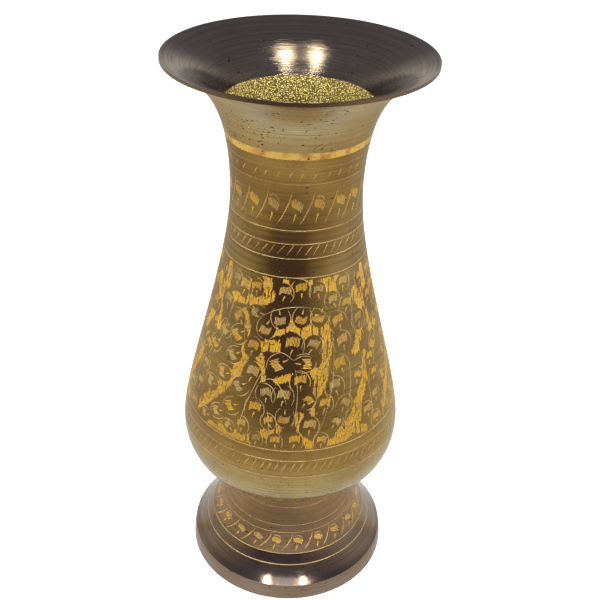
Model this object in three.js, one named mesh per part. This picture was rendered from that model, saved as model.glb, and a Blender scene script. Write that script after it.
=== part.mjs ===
// A brass flower vase with a trumpet mouth, a slim neck, a pear-shaped belly and a spreading foot.
// Three castings are joined by rings of filler brass, one flush with the neck and one at the waist.
// Sizes are in millimetres. The axis is +Z, and the foot stands on z = 0.

import * as THREE from "three";

// How finely round stretches are divided.
const FACETS = 48;
const CURVE_STEPS = 8;
const NECK_STEPS = 3;

// Clearance between two castings, or between a casting and the filler that joins them.
const FIT_GAP = 0.3;

// Foot: a bell open underneath, with a rim band at the floor and a collar at the top.
const FOOT_HEIGHT = 45;
const FOOT_RIM_RADIUS = 47.6;
const FOOT_RIM_BAND_HEIGHT = 8.6;
const FOOT_RIM_BAND_TAPER = 0.9;
const FOOT_RIM_WIDTH = 6;
const FOOT_EDGE_ROUND = 0.8;
const FOOT_WALL = 3;
const FOOT_COLLAR_SWEEP = new THREE.Vector2(2.8, 11);
const FOOT_FLARE_SWEEP = new THREE.Vector2(7, 7.6);

// Waist: where the body's register ring drops into the foot's collar.
const WAIST_RADIUS = 26;
const REGISTER_RADIUS = 18;
const REGISTER_WALL = 2.6;
const REGISTER_LENGTH = 5;
const WAIST_FILLER_HEIGHT = 0.8;

// Body: belly and neck in one casting with a closed floor.
const BODY_HEIGHT = 172.5;
const BODY_WALL = 2.6;
const BODY_FLOOR = 3;
const BELLY_RADIUS = 50;
const BELLY_RISE = 32.6;
const BELLY_SWEEP_DOWN = 26;
const BELLY_SWEEP_UP = 20;
const WAIST_SWEEP = 4;
const NECK_RADIUS = 27.3;
const NECK_DROP = 23.9;
const NECK_SWEEP_DOWN = 33;
const NECK_SWEEP_UP = 30;

// Neck joint: the mouth's tongue stands in a rebate in the body, behind the filler ring.
const NECK_FILLER_HEIGHT = 2.5;
const REBATE_WALL = 1.3;
const REBATE_DEPTH = 3;
const TONGUE_WALL = 1.5;

// Mouth: the trumpet, thick at the joint and thin at the lip.
const MOUTH_HEIGHT = 28;
const MOUTH_WALL = 3;
const LIP_RADIUS = 53.3;
const LIP_THICKNESS = 1.4;
const LIP_SWEEP = new THREE.Vector2(19.3, 6);

// Heights of the joints, from the floor up.
const FOOT_TOP = FOOT_HEIGHT;
const WAIST_FILLER_BASE = FOOT_TOP + FIT_GAP;
const BODY_BASE = WAIST_FILLER_BASE + WAIST_FILLER_HEIGHT + FIT_GAP;
const BODY_TOP = BODY_BASE + BODY_HEIGHT;
const NECK_FILLER_BASE = BODY_TOP + FIT_GAP;
const NECK_FILLER_TOP = NECK_FILLER_BASE + NECK_FILLER_HEIGHT;
const MOUTH_BASE = NECK_FILLER_TOP + FIT_GAP;
const TONGUE_END = BODY_TOP - REBATE_DEPTH;
const LIP_TOP = MOUTH_BASE + MOUTH_HEIGHT;
const BELLY_Z = BODY_BASE + BELLY_RISE;
const NECK_Z = BODY_TOP - NECK_DROP;

/** A point of an outline: its radius and its height. */
const at = (radius, height) => new THREE.Vector2(radius, height);

/** The curve from the waist out to the widest part of the belly. */
function bellyUnderside() {
  return new THREE.CubicBezierCurve(
    at(WAIST_RADIUS, BODY_BASE),
    at(WAIST_RADIUS, BODY_BASE + WAIST_SWEEP),
    at(BELLY_RADIUS, BELLY_Z - BELLY_SWEEP_DOWN),
    at(BELLY_RADIUS, BELLY_Z),
  );
}

/** The long S curve from the belly up to the narrowest part of the neck. */
function shoulder() {
  return new THREE.CubicBezierCurve(
    at(BELLY_RADIUS, BELLY_Z),
    at(BELLY_RADIUS, BELLY_Z + BELLY_SWEEP_UP),
    at(NECK_RADIUS, NECK_Z - NECK_SWEEP_DOWN),
    at(NECK_RADIUS, NECK_Z),
  );
}

/** The flare from the neck up to the underside of the lip, shared by the body, the filler and the mouth. */
function flare() {
  const lipEdge = LIP_TOP - LIP_THICKNESS;
  return new THREE.CubicBezierCurve(
    at(NECK_RADIUS, NECK_Z),
    at(NECK_RADIUS, NECK_Z + NECK_SWEEP_UP),
    at(LIP_RADIUS - LIP_SWEEP.x, lipEdge - LIP_SWEEP.y),
    at(LIP_RADIUS, lipEdge),
  );
}

/** The foot's side from its collar down to the top of the rim band. */
function footSide() {
  const bandRadius = FOOT_RIM_RADIUS - FOOT_RIM_BAND_TAPER;
  return new THREE.CubicBezierCurve(
    at(WAIST_RADIUS, FOOT_TOP),
    at(WAIST_RADIUS + FOOT_COLLAR_SWEEP.x, FOOT_TOP - FOOT_COLLAR_SWEEP.y),
    at(bandRadius - FOOT_FLARE_SWEEP.x, FOOT_RIM_BAND_HEIGHT + FOOT_FLARE_SWEEP.y),
    at(bandRadius, FOOT_RIM_BAND_HEIGHT),
  );
}

/** The place along a rising curve, from 0 to 1, where it reaches a height. */
function placeAtHeight(curve, height) {
  let low = 0;
  let high = 1;
  for (let i = 0; i < 40; i += 1) {
    const middle = (low + high) / 2;
    if (curve.getPoint(middle).y < height) low = middle;
    else high = middle;
  }
  return (low + high) / 2;
}

/** Points along part of a curve, each moved to the curve's left by the wall at its share of the way. */
function stretch(curve, from, to, steps, wallAt = () => 0) {
  const points = [];
  for (let i = 0; i <= steps; i += 1) {
    const share = i / steps;
    const place = THREE.MathUtils.lerp(from, to, share);
    const along = curve.getTangent(place);
    const inward = at(-along.y, along.x).multiplyScalar(wallAt(share));
    points.push(curve.getPoint(place).add(inward));
  }
  return points;
}

/** Radius of the outside of the neck and mouth at a height. */
function flareRadius(height) {
  return flare().getPoint(placeAtHeight(flare(), height)).x;
}

/** A named mesh turned from an outline that runs round its section with the solid on its left. */
function turned(name, outline, finish) {
  const geometry = new THREE.LatheGeometry(outline, FACETS);
  geometry.rotateX(Math.PI / 2);
  const mesh = new THREE.Mesh(geometry, new THREE.MeshStandardMaterial(finish));
  mesh.name = name;
  return mesh;
}

/** The closed outline of a ring or shell whose section doesn't touch the axis. */
const closed = (outline) => [...outline, outline[0].clone()];

/** The radius that the mouth's tongue is turned to, a gap inside the body's rebate. */
const tongueRadius = () => flareRadius(BODY_TOP) - REBATE_WALL - FIT_GAP;

function makeFoot() {
  const side = footSide();
  const innerRim = FOOT_RIM_RADIUS - FOOT_RIM_WIDTH;
  const collarBore = REGISTER_RADIUS + FIT_GAP;
  const hollow = stretch(side, 0, 1, CURVE_STEPS, () => -FOOT_WALL)
    .filter((point) => point.x > collarBore && point.x < innerRim)
    .filter((point) => point.y < FOOT_TOP - REGISTER_LENGTH);
  const bandMiddle = at(FOOT_RIM_RADIUS - FOOT_RIM_BAND_TAPER / 4, FOOT_RIM_BAND_HEIGHT / 2);
  const outline = [
    at(innerRim, 0),
    at(FOOT_RIM_RADIUS - FOOT_EDGE_ROUND, 0),
    at(FOOT_RIM_RADIUS, FOOT_EDGE_ROUND),
    bandMiddle,
    ...stretch(side, 0, 1, CURVE_STEPS).reverse(),
    at(collarBore, FOOT_TOP),
    at(collarBore, FOOT_TOP - REGISTER_LENGTH),
    ...hollow,
  ];
  return turned("foot", closed(outline), { color: 0x4a332c, roughness: 0.22, metalness: 1 });
}

function makeWaistFiller() {
  const inner = REGISTER_RADIUS + FIT_GAP;
  const top = WAIST_FILLER_BASE + WAIST_FILLER_HEIGHT;
  const outline = [
    at(inner, WAIST_FILLER_BASE),
    at(WAIST_RADIUS, WAIST_FILLER_BASE),
    at(WAIST_RADIUS, top),
    at(inner, top),
  ];
  return turned("waist_filler_ring", closed(outline), { color: 0x6e5632, roughness: 0.5, metalness: 1 });
}

function makeBody() {
  const jointPlace = placeAtHeight(flare(), BODY_TOP);
  const rebateRadius = tongueRadius() + FIT_GAP;
  const rebateFloor = TONGUE_END - FIT_GAP;
  const floorTop = BODY_BASE + BODY_FLOOR;
  const wall = () => BODY_WALL;
  const rebatePlace = placeAtHeight(flare(), rebateFloor);
  const inside = [
    ...stretch(bellyUnderside(), 0, 1, CURVE_STEPS, wall),
    ...stretch(shoulder(), 0, 1, CURVE_STEPS, wall).slice(1),
    ...stretch(flare(), 0, rebatePlace, NECK_STEPS, wall).slice(1),
  ].filter((point) => point.y > floorTop && point.y < rebateFloor);
  const outline = [
    at(0, BODY_BASE),
    at(REGISTER_RADIUS - REGISTER_WALL, BODY_BASE),
    at(REGISTER_RADIUS - REGISTER_WALL, BODY_BASE - REGISTER_LENGTH),
    at(REGISTER_RADIUS, BODY_BASE - REGISTER_LENGTH),
    at(REGISTER_RADIUS, BODY_BASE),
    ...stretch(bellyUnderside(), 0, 1, CURVE_STEPS),
    ...stretch(shoulder(), 0, 1, CURVE_STEPS).slice(1),
    ...stretch(flare(), 0, jointPlace, NECK_STEPS).slice(1),
    at(rebateRadius, BODY_TOP),
    at(rebateRadius, rebateFloor),
    ...inside.reverse(),
    at(WAIST_RADIUS - BODY_WALL, floorTop),
    at(0, floorTop),
  ];
  return turned("body", outline, { color: 0xa08c5a, roughness: 0.32, metalness: 1 });
}

function makeNeckFiller() {
  const from = placeAtHeight(flare(), NECK_FILLER_BASE);
  const to = placeAtHeight(flare(), NECK_FILLER_TOP);
  const inner = tongueRadius() + FIT_GAP;
  const outline = [
    at(inner, NECK_FILLER_BASE),
    ...stretch(flare(), from, to, 1),
    at(inner, NECK_FILLER_TOP),
  ];
  return turned("neck_filler_ring", closed(outline), { color: 0xd8a53c, roughness: 0.38, metalness: 1 });
}

function makeMouth() {
  const from = placeAtHeight(flare(), MOUTH_BASE);
  const tongueInner = tongueRadius() - TONGUE_WALL;
  const wall = (share) => THREE.MathUtils.lerp(MOUTH_WALL, LIP_THICKNESS, share);
  const inside = stretch(flare(), from, 1, CURVE_STEPS, wall).reverse();
  const outline = [
    at(tongueInner, TONGUE_END),
    at(tongueRadius(), TONGUE_END),
    at(tongueRadius(), MOUTH_BASE),
    ...stretch(flare(), from, 1, CURVE_STEPS),
    at(LIP_RADIUS, LIP_TOP),
    ...inside.slice(1),
  ];
  return turned("mouth", closed(outline), { color: 0x5a3d34, roughness: 0.2, metalness: 1 });
}

const group = new THREE.Group();
group.add(makeFoot(), makeWaistFiller(), makeBody(), makeNeckFiller(), makeMouth());

export default group;
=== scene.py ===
"""A brass flower vase, cast in three pieces, brazed, turned on a lathe and engraved by hand.

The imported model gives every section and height. Each casting is turned again here on a finer pitch,
its engraved surface is cut stroke by stroke with a graver, and every surface is dressed with a finish
of its own. Sizes inside the builders are in millimetres, and become metres when a mesh is made.
"""

from __future__ import annotations

import logging
import math
import random
from collections.abc import Callable, Iterator, Sequence
from dataclasses import dataclass, field
from enum import Enum

import bpy
import numpy as np
from mathutils import Matrix, Vector, noise
from mathutils.geometry import delaunay_2d_cdt

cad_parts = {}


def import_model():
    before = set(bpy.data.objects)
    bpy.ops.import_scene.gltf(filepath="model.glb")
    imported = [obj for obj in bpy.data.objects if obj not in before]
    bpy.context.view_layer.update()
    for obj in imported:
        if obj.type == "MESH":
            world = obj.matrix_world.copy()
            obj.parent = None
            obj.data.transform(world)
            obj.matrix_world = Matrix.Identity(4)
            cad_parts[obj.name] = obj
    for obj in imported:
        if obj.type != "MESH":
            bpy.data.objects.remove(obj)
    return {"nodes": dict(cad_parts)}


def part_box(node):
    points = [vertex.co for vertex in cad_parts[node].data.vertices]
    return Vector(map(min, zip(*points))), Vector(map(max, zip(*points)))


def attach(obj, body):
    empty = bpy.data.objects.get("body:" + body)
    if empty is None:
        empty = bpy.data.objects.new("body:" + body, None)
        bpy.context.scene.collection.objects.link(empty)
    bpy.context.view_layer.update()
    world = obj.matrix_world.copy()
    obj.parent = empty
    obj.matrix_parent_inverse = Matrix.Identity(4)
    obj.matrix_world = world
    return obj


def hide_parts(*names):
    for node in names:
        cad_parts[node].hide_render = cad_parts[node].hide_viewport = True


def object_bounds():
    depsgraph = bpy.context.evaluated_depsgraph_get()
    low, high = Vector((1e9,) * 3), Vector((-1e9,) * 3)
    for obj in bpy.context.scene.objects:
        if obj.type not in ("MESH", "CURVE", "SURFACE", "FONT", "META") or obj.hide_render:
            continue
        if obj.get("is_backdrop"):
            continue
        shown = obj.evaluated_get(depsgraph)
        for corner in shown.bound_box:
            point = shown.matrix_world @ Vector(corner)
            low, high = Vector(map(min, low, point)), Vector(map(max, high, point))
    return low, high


LOG = logging.getLogger("vase")
BODY = "root"
SEED = 20
UV_NAME = "OFBake"
TONE = "cut_tone"
TAU = math.tau

# One millimetre, in metres.
MM = 0.001
# Facets round the axis of a turned surface.
COLUMNS = 240
# Step along an engraved outside, and the radius at which it is unwrapped flat, in millimetres.
ENGRAVED_PITCH = 0.5
UNWRAP_RADIUS = 40.0
# Least divisor, and the radius in millimetres under which a point is on the axis.
TINY = 1e-9
ON_AXIS = 1e-6

Socket = bpy.types.NodeSocket
Node = bpy.types.Node
Tree = bpy.types.NodeTree
Object = bpy.types.Object
Point = tuple[float, float]
Point3 = tuple[float, float, float]
Colour = tuple[float, float, float]
# What a node's input gets: a value of its own, or another node's output.
Value = float | tuple[float, ...] | bpy.types.NodeSocket
# Turns millimetres in a small flat frame on a surface into an angle and a distance along it.
LocalFrame = Callable[[float, float], Point]
# Turns angles and outline points into lift along the normal, in millimetres.
Relief = Callable[[np.ndarray, np.ndarray], np.ndarray]

FLOOR_CORNERS = ((-1, -1), (1, -1), (1, 1), (-1, 1))
# What the metal mirrors: the floor by its distance from the vase in metres, and then the room low down
# by the direction, from 0 at its dark side to 1 at the opposite side.
FLOOR_GLOW: tuple[tuple[float, Colour], ...] = (
    (0.0, (0.60, 0.60, 0.60)),
    (0.10, (0.64, 0.62, 0.58)),
    (0.18, (0.56, 0.47, 0.34)),
    (0.32, (0.44, 0.34, 0.21)),
    (1.0, (0.25, 0.19, 0.13)),
)
# How far to the left of the front the room's dark side is, in radians.
DARK_SIDE = 0.17
HORIZON: tuple[tuple[float, Colour], ...] = (
    (0.0, (0.060, 0.034, 0.050)),
    (0.14, (0.065, 0.036, 0.050)),
    (0.20, (0.24, 0.18, 0.12)),
    (0.30, (0.36, 0.29, 0.19)),
    (0.50, (0.46, 0.42, 0.35)),
    (0.68, (0.42, 0.40, 0.38)),
    (0.88, (0.42, 0.40, 0.38)),
    (1.0, (0.50, 0.48, 0.46)),
)


# --- Sections and turned surfaces ---


@dataclass
class Outline:
    """A smooth stretch of a turned section.

    Attributes:
        points: Radius and height of each point, in millimetres.
    """

    points: np.ndarray

    # How far ahead and behind the normal looks, in millimetres.
    SIGHT = 0.6

    def __post_init__(self) -> None:
        """Measures the stretch along its length."""
        steps = np.linalg.norm(np.diff(self.points, axis=0), axis=1)
        self.along = np.concatenate([[0.0], np.cumsum(steps)])

    @property
    def length(self) -> float:
        """The length of the stretch, in millimetres."""
        return float(self.along[-1])

    def at(self, distance: np.ndarray | float) -> np.ndarray:
        """Radius and height at a distance along the stretch."""
        return np.stack([np.interp(distance, self.along, self.points[:, k]) for k in (0, 1)], axis=-1)

    def normal(self, distance: np.ndarray | float) -> np.ndarray:
        """The unit normal on the right of the stretch, which is outside where the outline rises.

        Args:
            distance: Distance along the stretch, in millimetres.

        Returns:
            The normal's parts along the radius and the height.
        """
        ahead = self.at(np.minimum(np.asarray(distance) + self.SIGHT, self.length))
        behind = self.at(np.maximum(np.asarray(distance) - self.SIGHT, 0.0))
        way = ahead - behind
        way = way / np.maximum(np.linalg.norm(way, axis=-1, keepdims=True), TINY)
        return np.stack([way[..., 1], -way[..., 0]], axis=-1)

    def distance_at_height(self, height: float) -> float:
        """The distance along a rising stretch at which it reaches a height."""
        return float(np.interp(height, self.points[:, 1], self.along))

    def resampled(self, pitch: float) -> Outline:
        """The same stretch with points about a pitch apart."""
        count = max(1, round(self.length / pitch))
        return Outline(self.at(np.linspace(0.0, self.length, count + 1)))


class Section:
    """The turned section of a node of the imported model, read from one column of its facets."""

    # A sharper turn than this is a corner.
    CORNER = math.radians(40)
    # Step of the smooth curve, in millimetres.
    FINE = 0.35
    # How exactly a point has to be on the front column, off the axis or at a height.
    COLUMN_SPARE = 0.02
    AXIS_SPARE = 0.01
    LEVEL_SPARE = 0.05
    # Points nearer to the axis than this aren't kept sharp by their height.
    CRISP_RADIUS = 30.0

    def __init__(self, node: Object, crisp_heights: Sequence[float] = ()) -> None:
        """Reads the section.

        Args:
            node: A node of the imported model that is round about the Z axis.
            crisp_heights: Heights of further points that stay sharp, in millimetres.
        """
        self.loop = self._walk(node.data)
        self.crisp = tuple(crisp_heights)

    def _walk(self, mesh: bpy.types.Mesh) -> np.ndarray:
        """Follows the front column of facets round the section.

        Args:
            mesh: The node's mesh, in metres.

        Returns:
            Points of the section in order, with the solid on the left, in millimetres.
        """
        places = [vertex.co / MM for vertex in mesh.vertices]
        keys = {
            i: (round(-p.y, 2) + 0.0, round(p.z, 2) + 0.0)
            for i, p in enumerate(places)
            if abs(p.x) < self.COLUMN_SPARE and p.y < self.COLUMN_SPARE
        }
        links: dict[Point, set[Point]] = {}
        for edge in mesh.edges:
            a, b = (keys.get(i) for i in edge.vertices)
            if a is not None and b is not None and a != b and max(a[0], b[0]) > self.AXIS_SPARE:
                links.setdefault(a, set()).add(b)
                links.setdefault(b, set()).add(a)
        ends = [key for key, near in links.items() if len(near) == 1]
        start = min(ends or links, key=lambda key: (key[1], key[0]))
        path = [start]
        while True:
            onward = [key for key in sorted(links[path[-1]]) if key not in path]
            if not onward:
                break
            path.append(onward[0])
        loop = np.array(path)
        ring = np.vstack([loop, loop[:1]])
        area = 0.5 * np.sum(ring[:-1, 0] * ring[1:, 1] - ring[1:, 0] * ring[:-1, 1])
        loop = loop if area > 0 else loop[::-1]
        return loop if ends else np.vstack([loop, loop[:1]])

    def stretches(self) -> list[Outline]:
        """Splits the section at its corners.

        Returns:
            The smooth stretches between them, in order.
        """
        points = self.loop
        is_loop = np.allclose(points[0], points[-1])
        body = points[:-1] if is_loop else points
        count = len(body)
        corners = [i for i in range(count) if self._is_corner(body, i, is_loop)]
        if not is_loop:
            corners = sorted({0, count - 1, *corners})
            spans = list(zip(corners[:-1], corners[1:]))
        else:
            spans = list(zip(corners, corners[1:] + [corners[0] + count]))
        return [self._smooth(body[[i % count for i in range(a, b + 1)]]) for a, b in spans]

    def _is_corner(self, points: np.ndarray, i: int, is_loop: bool) -> bool:
        """Whether the section turns sharply at a point, or the point is one to keep sharp.

        Args:
            points: Points of the section.
            i: Which point.
            is_loop: Whether the section closes on itself.

        Returns:
            Whether the point is a corner.
        """
        count = len(points)
        if not is_loop and i in (0, count - 1):
            return True
        radius, level = points[i]
        near = any(abs(level - height) < self.LEVEL_SPARE for height in self.crisp)
        if near and radius > self.CRISP_RADIUS:
            return True
        before = points[i] - points[i - 1]
        after = points[(i + 1) % count] - points[i]
        turn = math.atan2(before[0] * after[1] - before[1] * after[0], float(before @ after))
        return abs(turn) > self.CORNER

    def _smooth(self, knots: np.ndarray) -> Outline:
        """A smooth curve through the points of one stretch.

        Args:
            knots: Points that the curve passes through.

        Returns:
            The stretch with fine steps.
        """
        if len(knots) < 3:
            return Outline(knots)
        lengths = np.linalg.norm(np.diff(knots, axis=0), axis=1)
        chords = np.diff(knots, axis=0) / lengths[:, None]
        slopes = np.empty_like(knots)
        weight = lengths[:-1, None] / (lengths[:-1] + lengths[1:])[:, None]
        slopes[1:-1] = chords[:-1] * (1 - weight) + chords[1:] * weight
        slopes[0] = 2 * chords[0] - slopes[1]
        slopes[-1] = 2 * chords[-1] - slopes[-2]
        points = [knots[:1]]
        for i, length in enumerate(lengths):
            t = np.linspace(0, 1, max(2, round(length / self.FINE)) + 1)[1:, None]
            points.append(
                (2 * t**3 - 3 * t**2 + 1) * knots[i]
                + (t**3 - 2 * t**2 + t) * slopes[i] * length
                + (3 * t**2 - 2 * t**3) * knots[i + 1]
                + (t**3 - t**2) * slopes[i + 1] * length
            )
        return Outline(np.vstack(points))


def around(angle: np.ndarray, radius: np.ndarray, height: np.ndarray) -> np.ndarray:
    """Points or normals round the axis, with angle 0 at the front and growing towards +X."""
    return np.stack([radius * np.sin(angle), -radius * np.cos(angle), height], axis=-1)


class Shading(Enum):
    """Whose normals a face is shaded with."""

    TURNED = "the outline's own, truly round"
    MESH = "the mesh's, smoothed"
    FACET = "the facet's"


@dataclass
class Skin:
    """Vertices, faces and their marks, gathered for one piece before its mesh is made.

    Attributes:
        vertices: Blocks of places, in metres.
        normals: The smooth normal at each vertex.
        faces: Indices of each face's corners.
        slots: Material slot of each face.
        tones: Tone of each face.
        unwrap: Bake coordinates of each vertex.
        shading: How each face is shaded.
    """

    vertices: list[np.ndarray] = field(default_factory=list)
    normals: list[np.ndarray] = field(default_factory=list)
    faces: list[tuple[int, ...]] = field(default_factory=list)
    slots: list[int] = field(default_factory=list)
    tones: list[float] = field(default_factory=list)
    unwrap: list[np.ndarray] = field(default_factory=list)
    shading: list[Shading] = field(default_factory=list)

    # Points closer than this are one, in metres.
    WELD = 2e-7

    def count(self) -> int:
        """How many vertices there are so far."""
        return sum(len(block) for block in self.vertices)

    def add(
        self,
        vertices: np.ndarray,
        normals: np.ndarray,
        faces: Sequence[Sequence[int]],
        unwrap: np.ndarray,
        slots: Sequence[int] | int = 0,
        tones: Sequence[float] | float = 0.5,
        shading: Sequence[Shading] | Shading = Shading.TURNED,
    ) -> None:
        """Adds a block of surface.

        Args:
            vertices: Places in metres.
            normals: The smooth normal at each vertex.
            faces: Indices into this block's vertices.
            unwrap: Bake coordinates of each vertex, from 0 to 1.
            slots: Material slot of each face, or of all.
            tones: Tone of each face, or of all.
            shading: How each face, or all, is shaded.
        """
        base = self.count()
        total = len(faces)
        self.vertices.append(vertices)
        self.normals.append(normals)
        self.unwrap.append(unwrap)
        self.faces.extend(tuple(base + i for i in face) for face in faces)
        self.slots.extend([slots] * total if isinstance(slots, int) else slots)
        self.tones.extend([tones] * total if isinstance(tones, float) else tones)
        self.shading.extend([shading] * total if isinstance(shading, Shading) else shading)

    def turn(
        self,
        outline: Outline,
        slot: int,
        band: Point,
        relief: Relief | None = None,
    ) -> None:
        """Turns a stretch about the axis.

        Args:
            outline: The stretch, with the solid on its left.
            slot: Material slot of the surface.
            band: Lowest and highest bake coordinate that the surface takes.
            relief: Lift along the normal.
        """
        on_axis = outline.points[:, 0] < ON_AXIS
        width = COLUMNS + 1
        angles = np.linspace(-math.pi, math.pi, width)
        rows = len(outline.points)
        distance = outline.along
        normal = outline.normal(distance)
        radius = np.repeat(outline.points[:, :1], width, axis=1)
        height = np.repeat(outline.points[:, 1:], width, axis=1)
        theta = np.repeat(angles[None, :], rows, axis=0)
        if relief is not None:
            lift = relief(theta, outline.points)
            lift[:, -1] = lift[:, 0]
            radius = radius + lift * normal[:, :1]
            height = height + lift * normal[:, 1:]
        vertices = around(theta, radius, height).reshape(-1, 3) * MM
        upright = np.repeat(normal[:, 1:], width, axis=1)
        normals = around(theta, normal[:, :1], upright).reshape(-1, 3)
        share = distance / max(outline.length, TINY)
        rise = np.repeat((band[0] + share * (band[1] - band[0]))[:, None], width, axis=1)
        unwrap = np.stack([(theta + math.pi) / TAU, rise], axis=-1).reshape(-1, 2)
        faces: list[tuple[int, ...]] = []
        for j in range(rows - 1):
            for i in range(COLUMNS):
                a, b = j * width + i, j * width + i + 1
                c, d = b + width, a + width
                if on_axis[j]:
                    faces.append((a, c, d))
                elif on_axis[j + 1]:
                    faces.append((a, b, c))
                else:
                    faces.append((a, b, c, d))
        shading = Shading.TURNED if relief is None else Shading.MESH
        self.add(vertices, normals, faces, unwrap, slot, shading=shading)

    def to_object(self, name: str, finishes: Sequence[Finish]) -> Object:
        """Makes the piece, closes its seams and gives it its finishes.

        Args:
            name: The piece's name.
            finishes: Finish of each material slot.

        Returns:
            The new object, in the scene.
        """
        vertices = np.vstack(self.vertices)
        normals = np.vstack(self.normals)
        unwrap = np.vstack(self.unwrap)
        grid = np.round(vertices / self.WELD).astype(np.int64)
        _, first, place = np.unique(grid, axis=0, return_index=True, return_inverse=True)
        place = place.reshape(-1)
        faces, kept = [], []
        for k, face in enumerate(self.faces):
            merged = [int(place[i]) for i in face]
            corners = [i for n, i in enumerate(face) if merged[n] not in merged[:n]]
            if len(corners) >= 3:
                faces.append(corners)
                kept.append(k)
        mesh = bpy.data.meshes.new(name)
        mesh.from_pydata(vertices[first].tolist(), [], [[int(place[i]) for i in face] for face in faces])
        mesh.polygons.foreach_set("material_index", [self.slots[k] for k in kept])
        mesh.polygons.foreach_set("use_smooth", [True] * len(kept))
        tones = mesh.attributes.new(TONE, "FLOAT", "FACE")
        tones.data.foreach_set("value", [self.tones[k] for k in kept])
        uv = mesh.uv_layers.new(name=UV_NAME)
        corner_list = [i for face in faces for i in face]
        uv.data.foreach_set("uv", unwrap[corner_list].astype(np.float32).ravel())
        self._shade(mesh, faces, kept, normals)
        for finish in finishes:
            mesh.materials.append(finish.material())
        piece = bpy.data.objects.new(name, mesh)
        bpy.context.scene.collection.objects.link(piece)
        return piece

    def _shade(
        self, mesh: bpy.types.Mesh, faces: list[list[int]], kept: list[int], normals: np.ndarray
    ) -> None:
        """Gives every face corner the normal that its face is shaded with.

        Args:
            mesh: The finished mesh.
            faces: For each of its faces, the indices of its corners in the skin.
            kept: For each of its faces, its index in the skin.
            normals: The smooth normal at each vertex of the skin.
        """
        mesh.update()
        own = np.zeros(len(mesh.polygons) * 3, np.float32)
        mesh.polygons.foreach_get("normal", own)
        own = own.reshape(-1, 3)
        smooth_vertex = np.zeros(len(mesh.vertices) * 3, np.float32)
        mesh.vertex_normals.foreach_get("vector", smooth_vertex)
        smooth_vertex = smooth_vertex.reshape(-1, 3)
        loops = np.zeros(len(mesh.loops), np.int32)
        mesh.loops.foreach_get("vertex_index", loops)
        split = np.empty((len(mesh.loops), 3), np.float32)
        cursor = 0
        for n, face in enumerate(faces):
            stop = cursor + len(face)
            shading = self.shading[kept[n]]
            if shading is Shading.FACET:
                split[cursor:stop] = own[n]
            elif shading is Shading.MESH:
                split[cursor:stop] = smooth_vertex[loops[cursor:stop]]
            else:
                split[cursor:stop] = normals[face]
            cursor = stop
        mesh.normals_split_custom_set(split.tolist())


# --- The graver ---


class Taper(Enum):
    """How a cut's width runs along its length."""

    BOTH = "lens"
    BLUNT = "even, with short ends"
    WEDGE = "wide at the start"

    def swell(self, share: np.ndarray) -> np.ndarray:
        """The width along a cut, where 1 is full.

        Args:
            share: Shares of the cut's length.

        Returns:
            The width at each of them.
        """
        power = {Taper.BOTH: 0.5, Taper.BLUNT: 0.22, Taper.WEDGE: 0.8}[self]
        if self is Taper.WEDGE:
            return (1 - share) ** power
        return np.maximum(np.sin(math.pi * share), 0.0) ** power


@dataclass(frozen=True)
class Chisel:
    """A graver's cut.

    Attributes:
        half_width: Half of the cut's greatest width, in millimetres.
        depth: Depth at its centre line, in millimetres.
        taper: How the width runs.
        tone: Brightness of the cut, from 0 to 1.
    """

    half_width: float
    depth: float
    taper: Taper = Taper.BOTH
    tone: float = 0.5


LINE = Chisel(0.18, 0.07, tone=0.45)
FAINT_LINE = Chisel(0.12, 0.04, tone=0.22)
# A cut whose dark brown tone is a painted reflection: the belly's dark underside as the foot's collar
# mirrors it.
PAINTED_REFLECTION_LINE = Chisel(0.20, 0.08, tone=0.05)
FLICK = Chisel(0.22, 0.10, tone=0.6)
FAINT_FLICK = Chisel(0.22, 0.08)
WEDGE = Chisel(0.33, 0.12, Taper.WEDGE, 0.7)
HATCH = Chisel(0.21, 0.08, Taper.BLUNT, 0.7)
FILL = Chisel(0.26, 0.09, Taper.BLUNT, 0.95)
CURL = Chisel(0.16, 0.06, tone=0.5)


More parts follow.
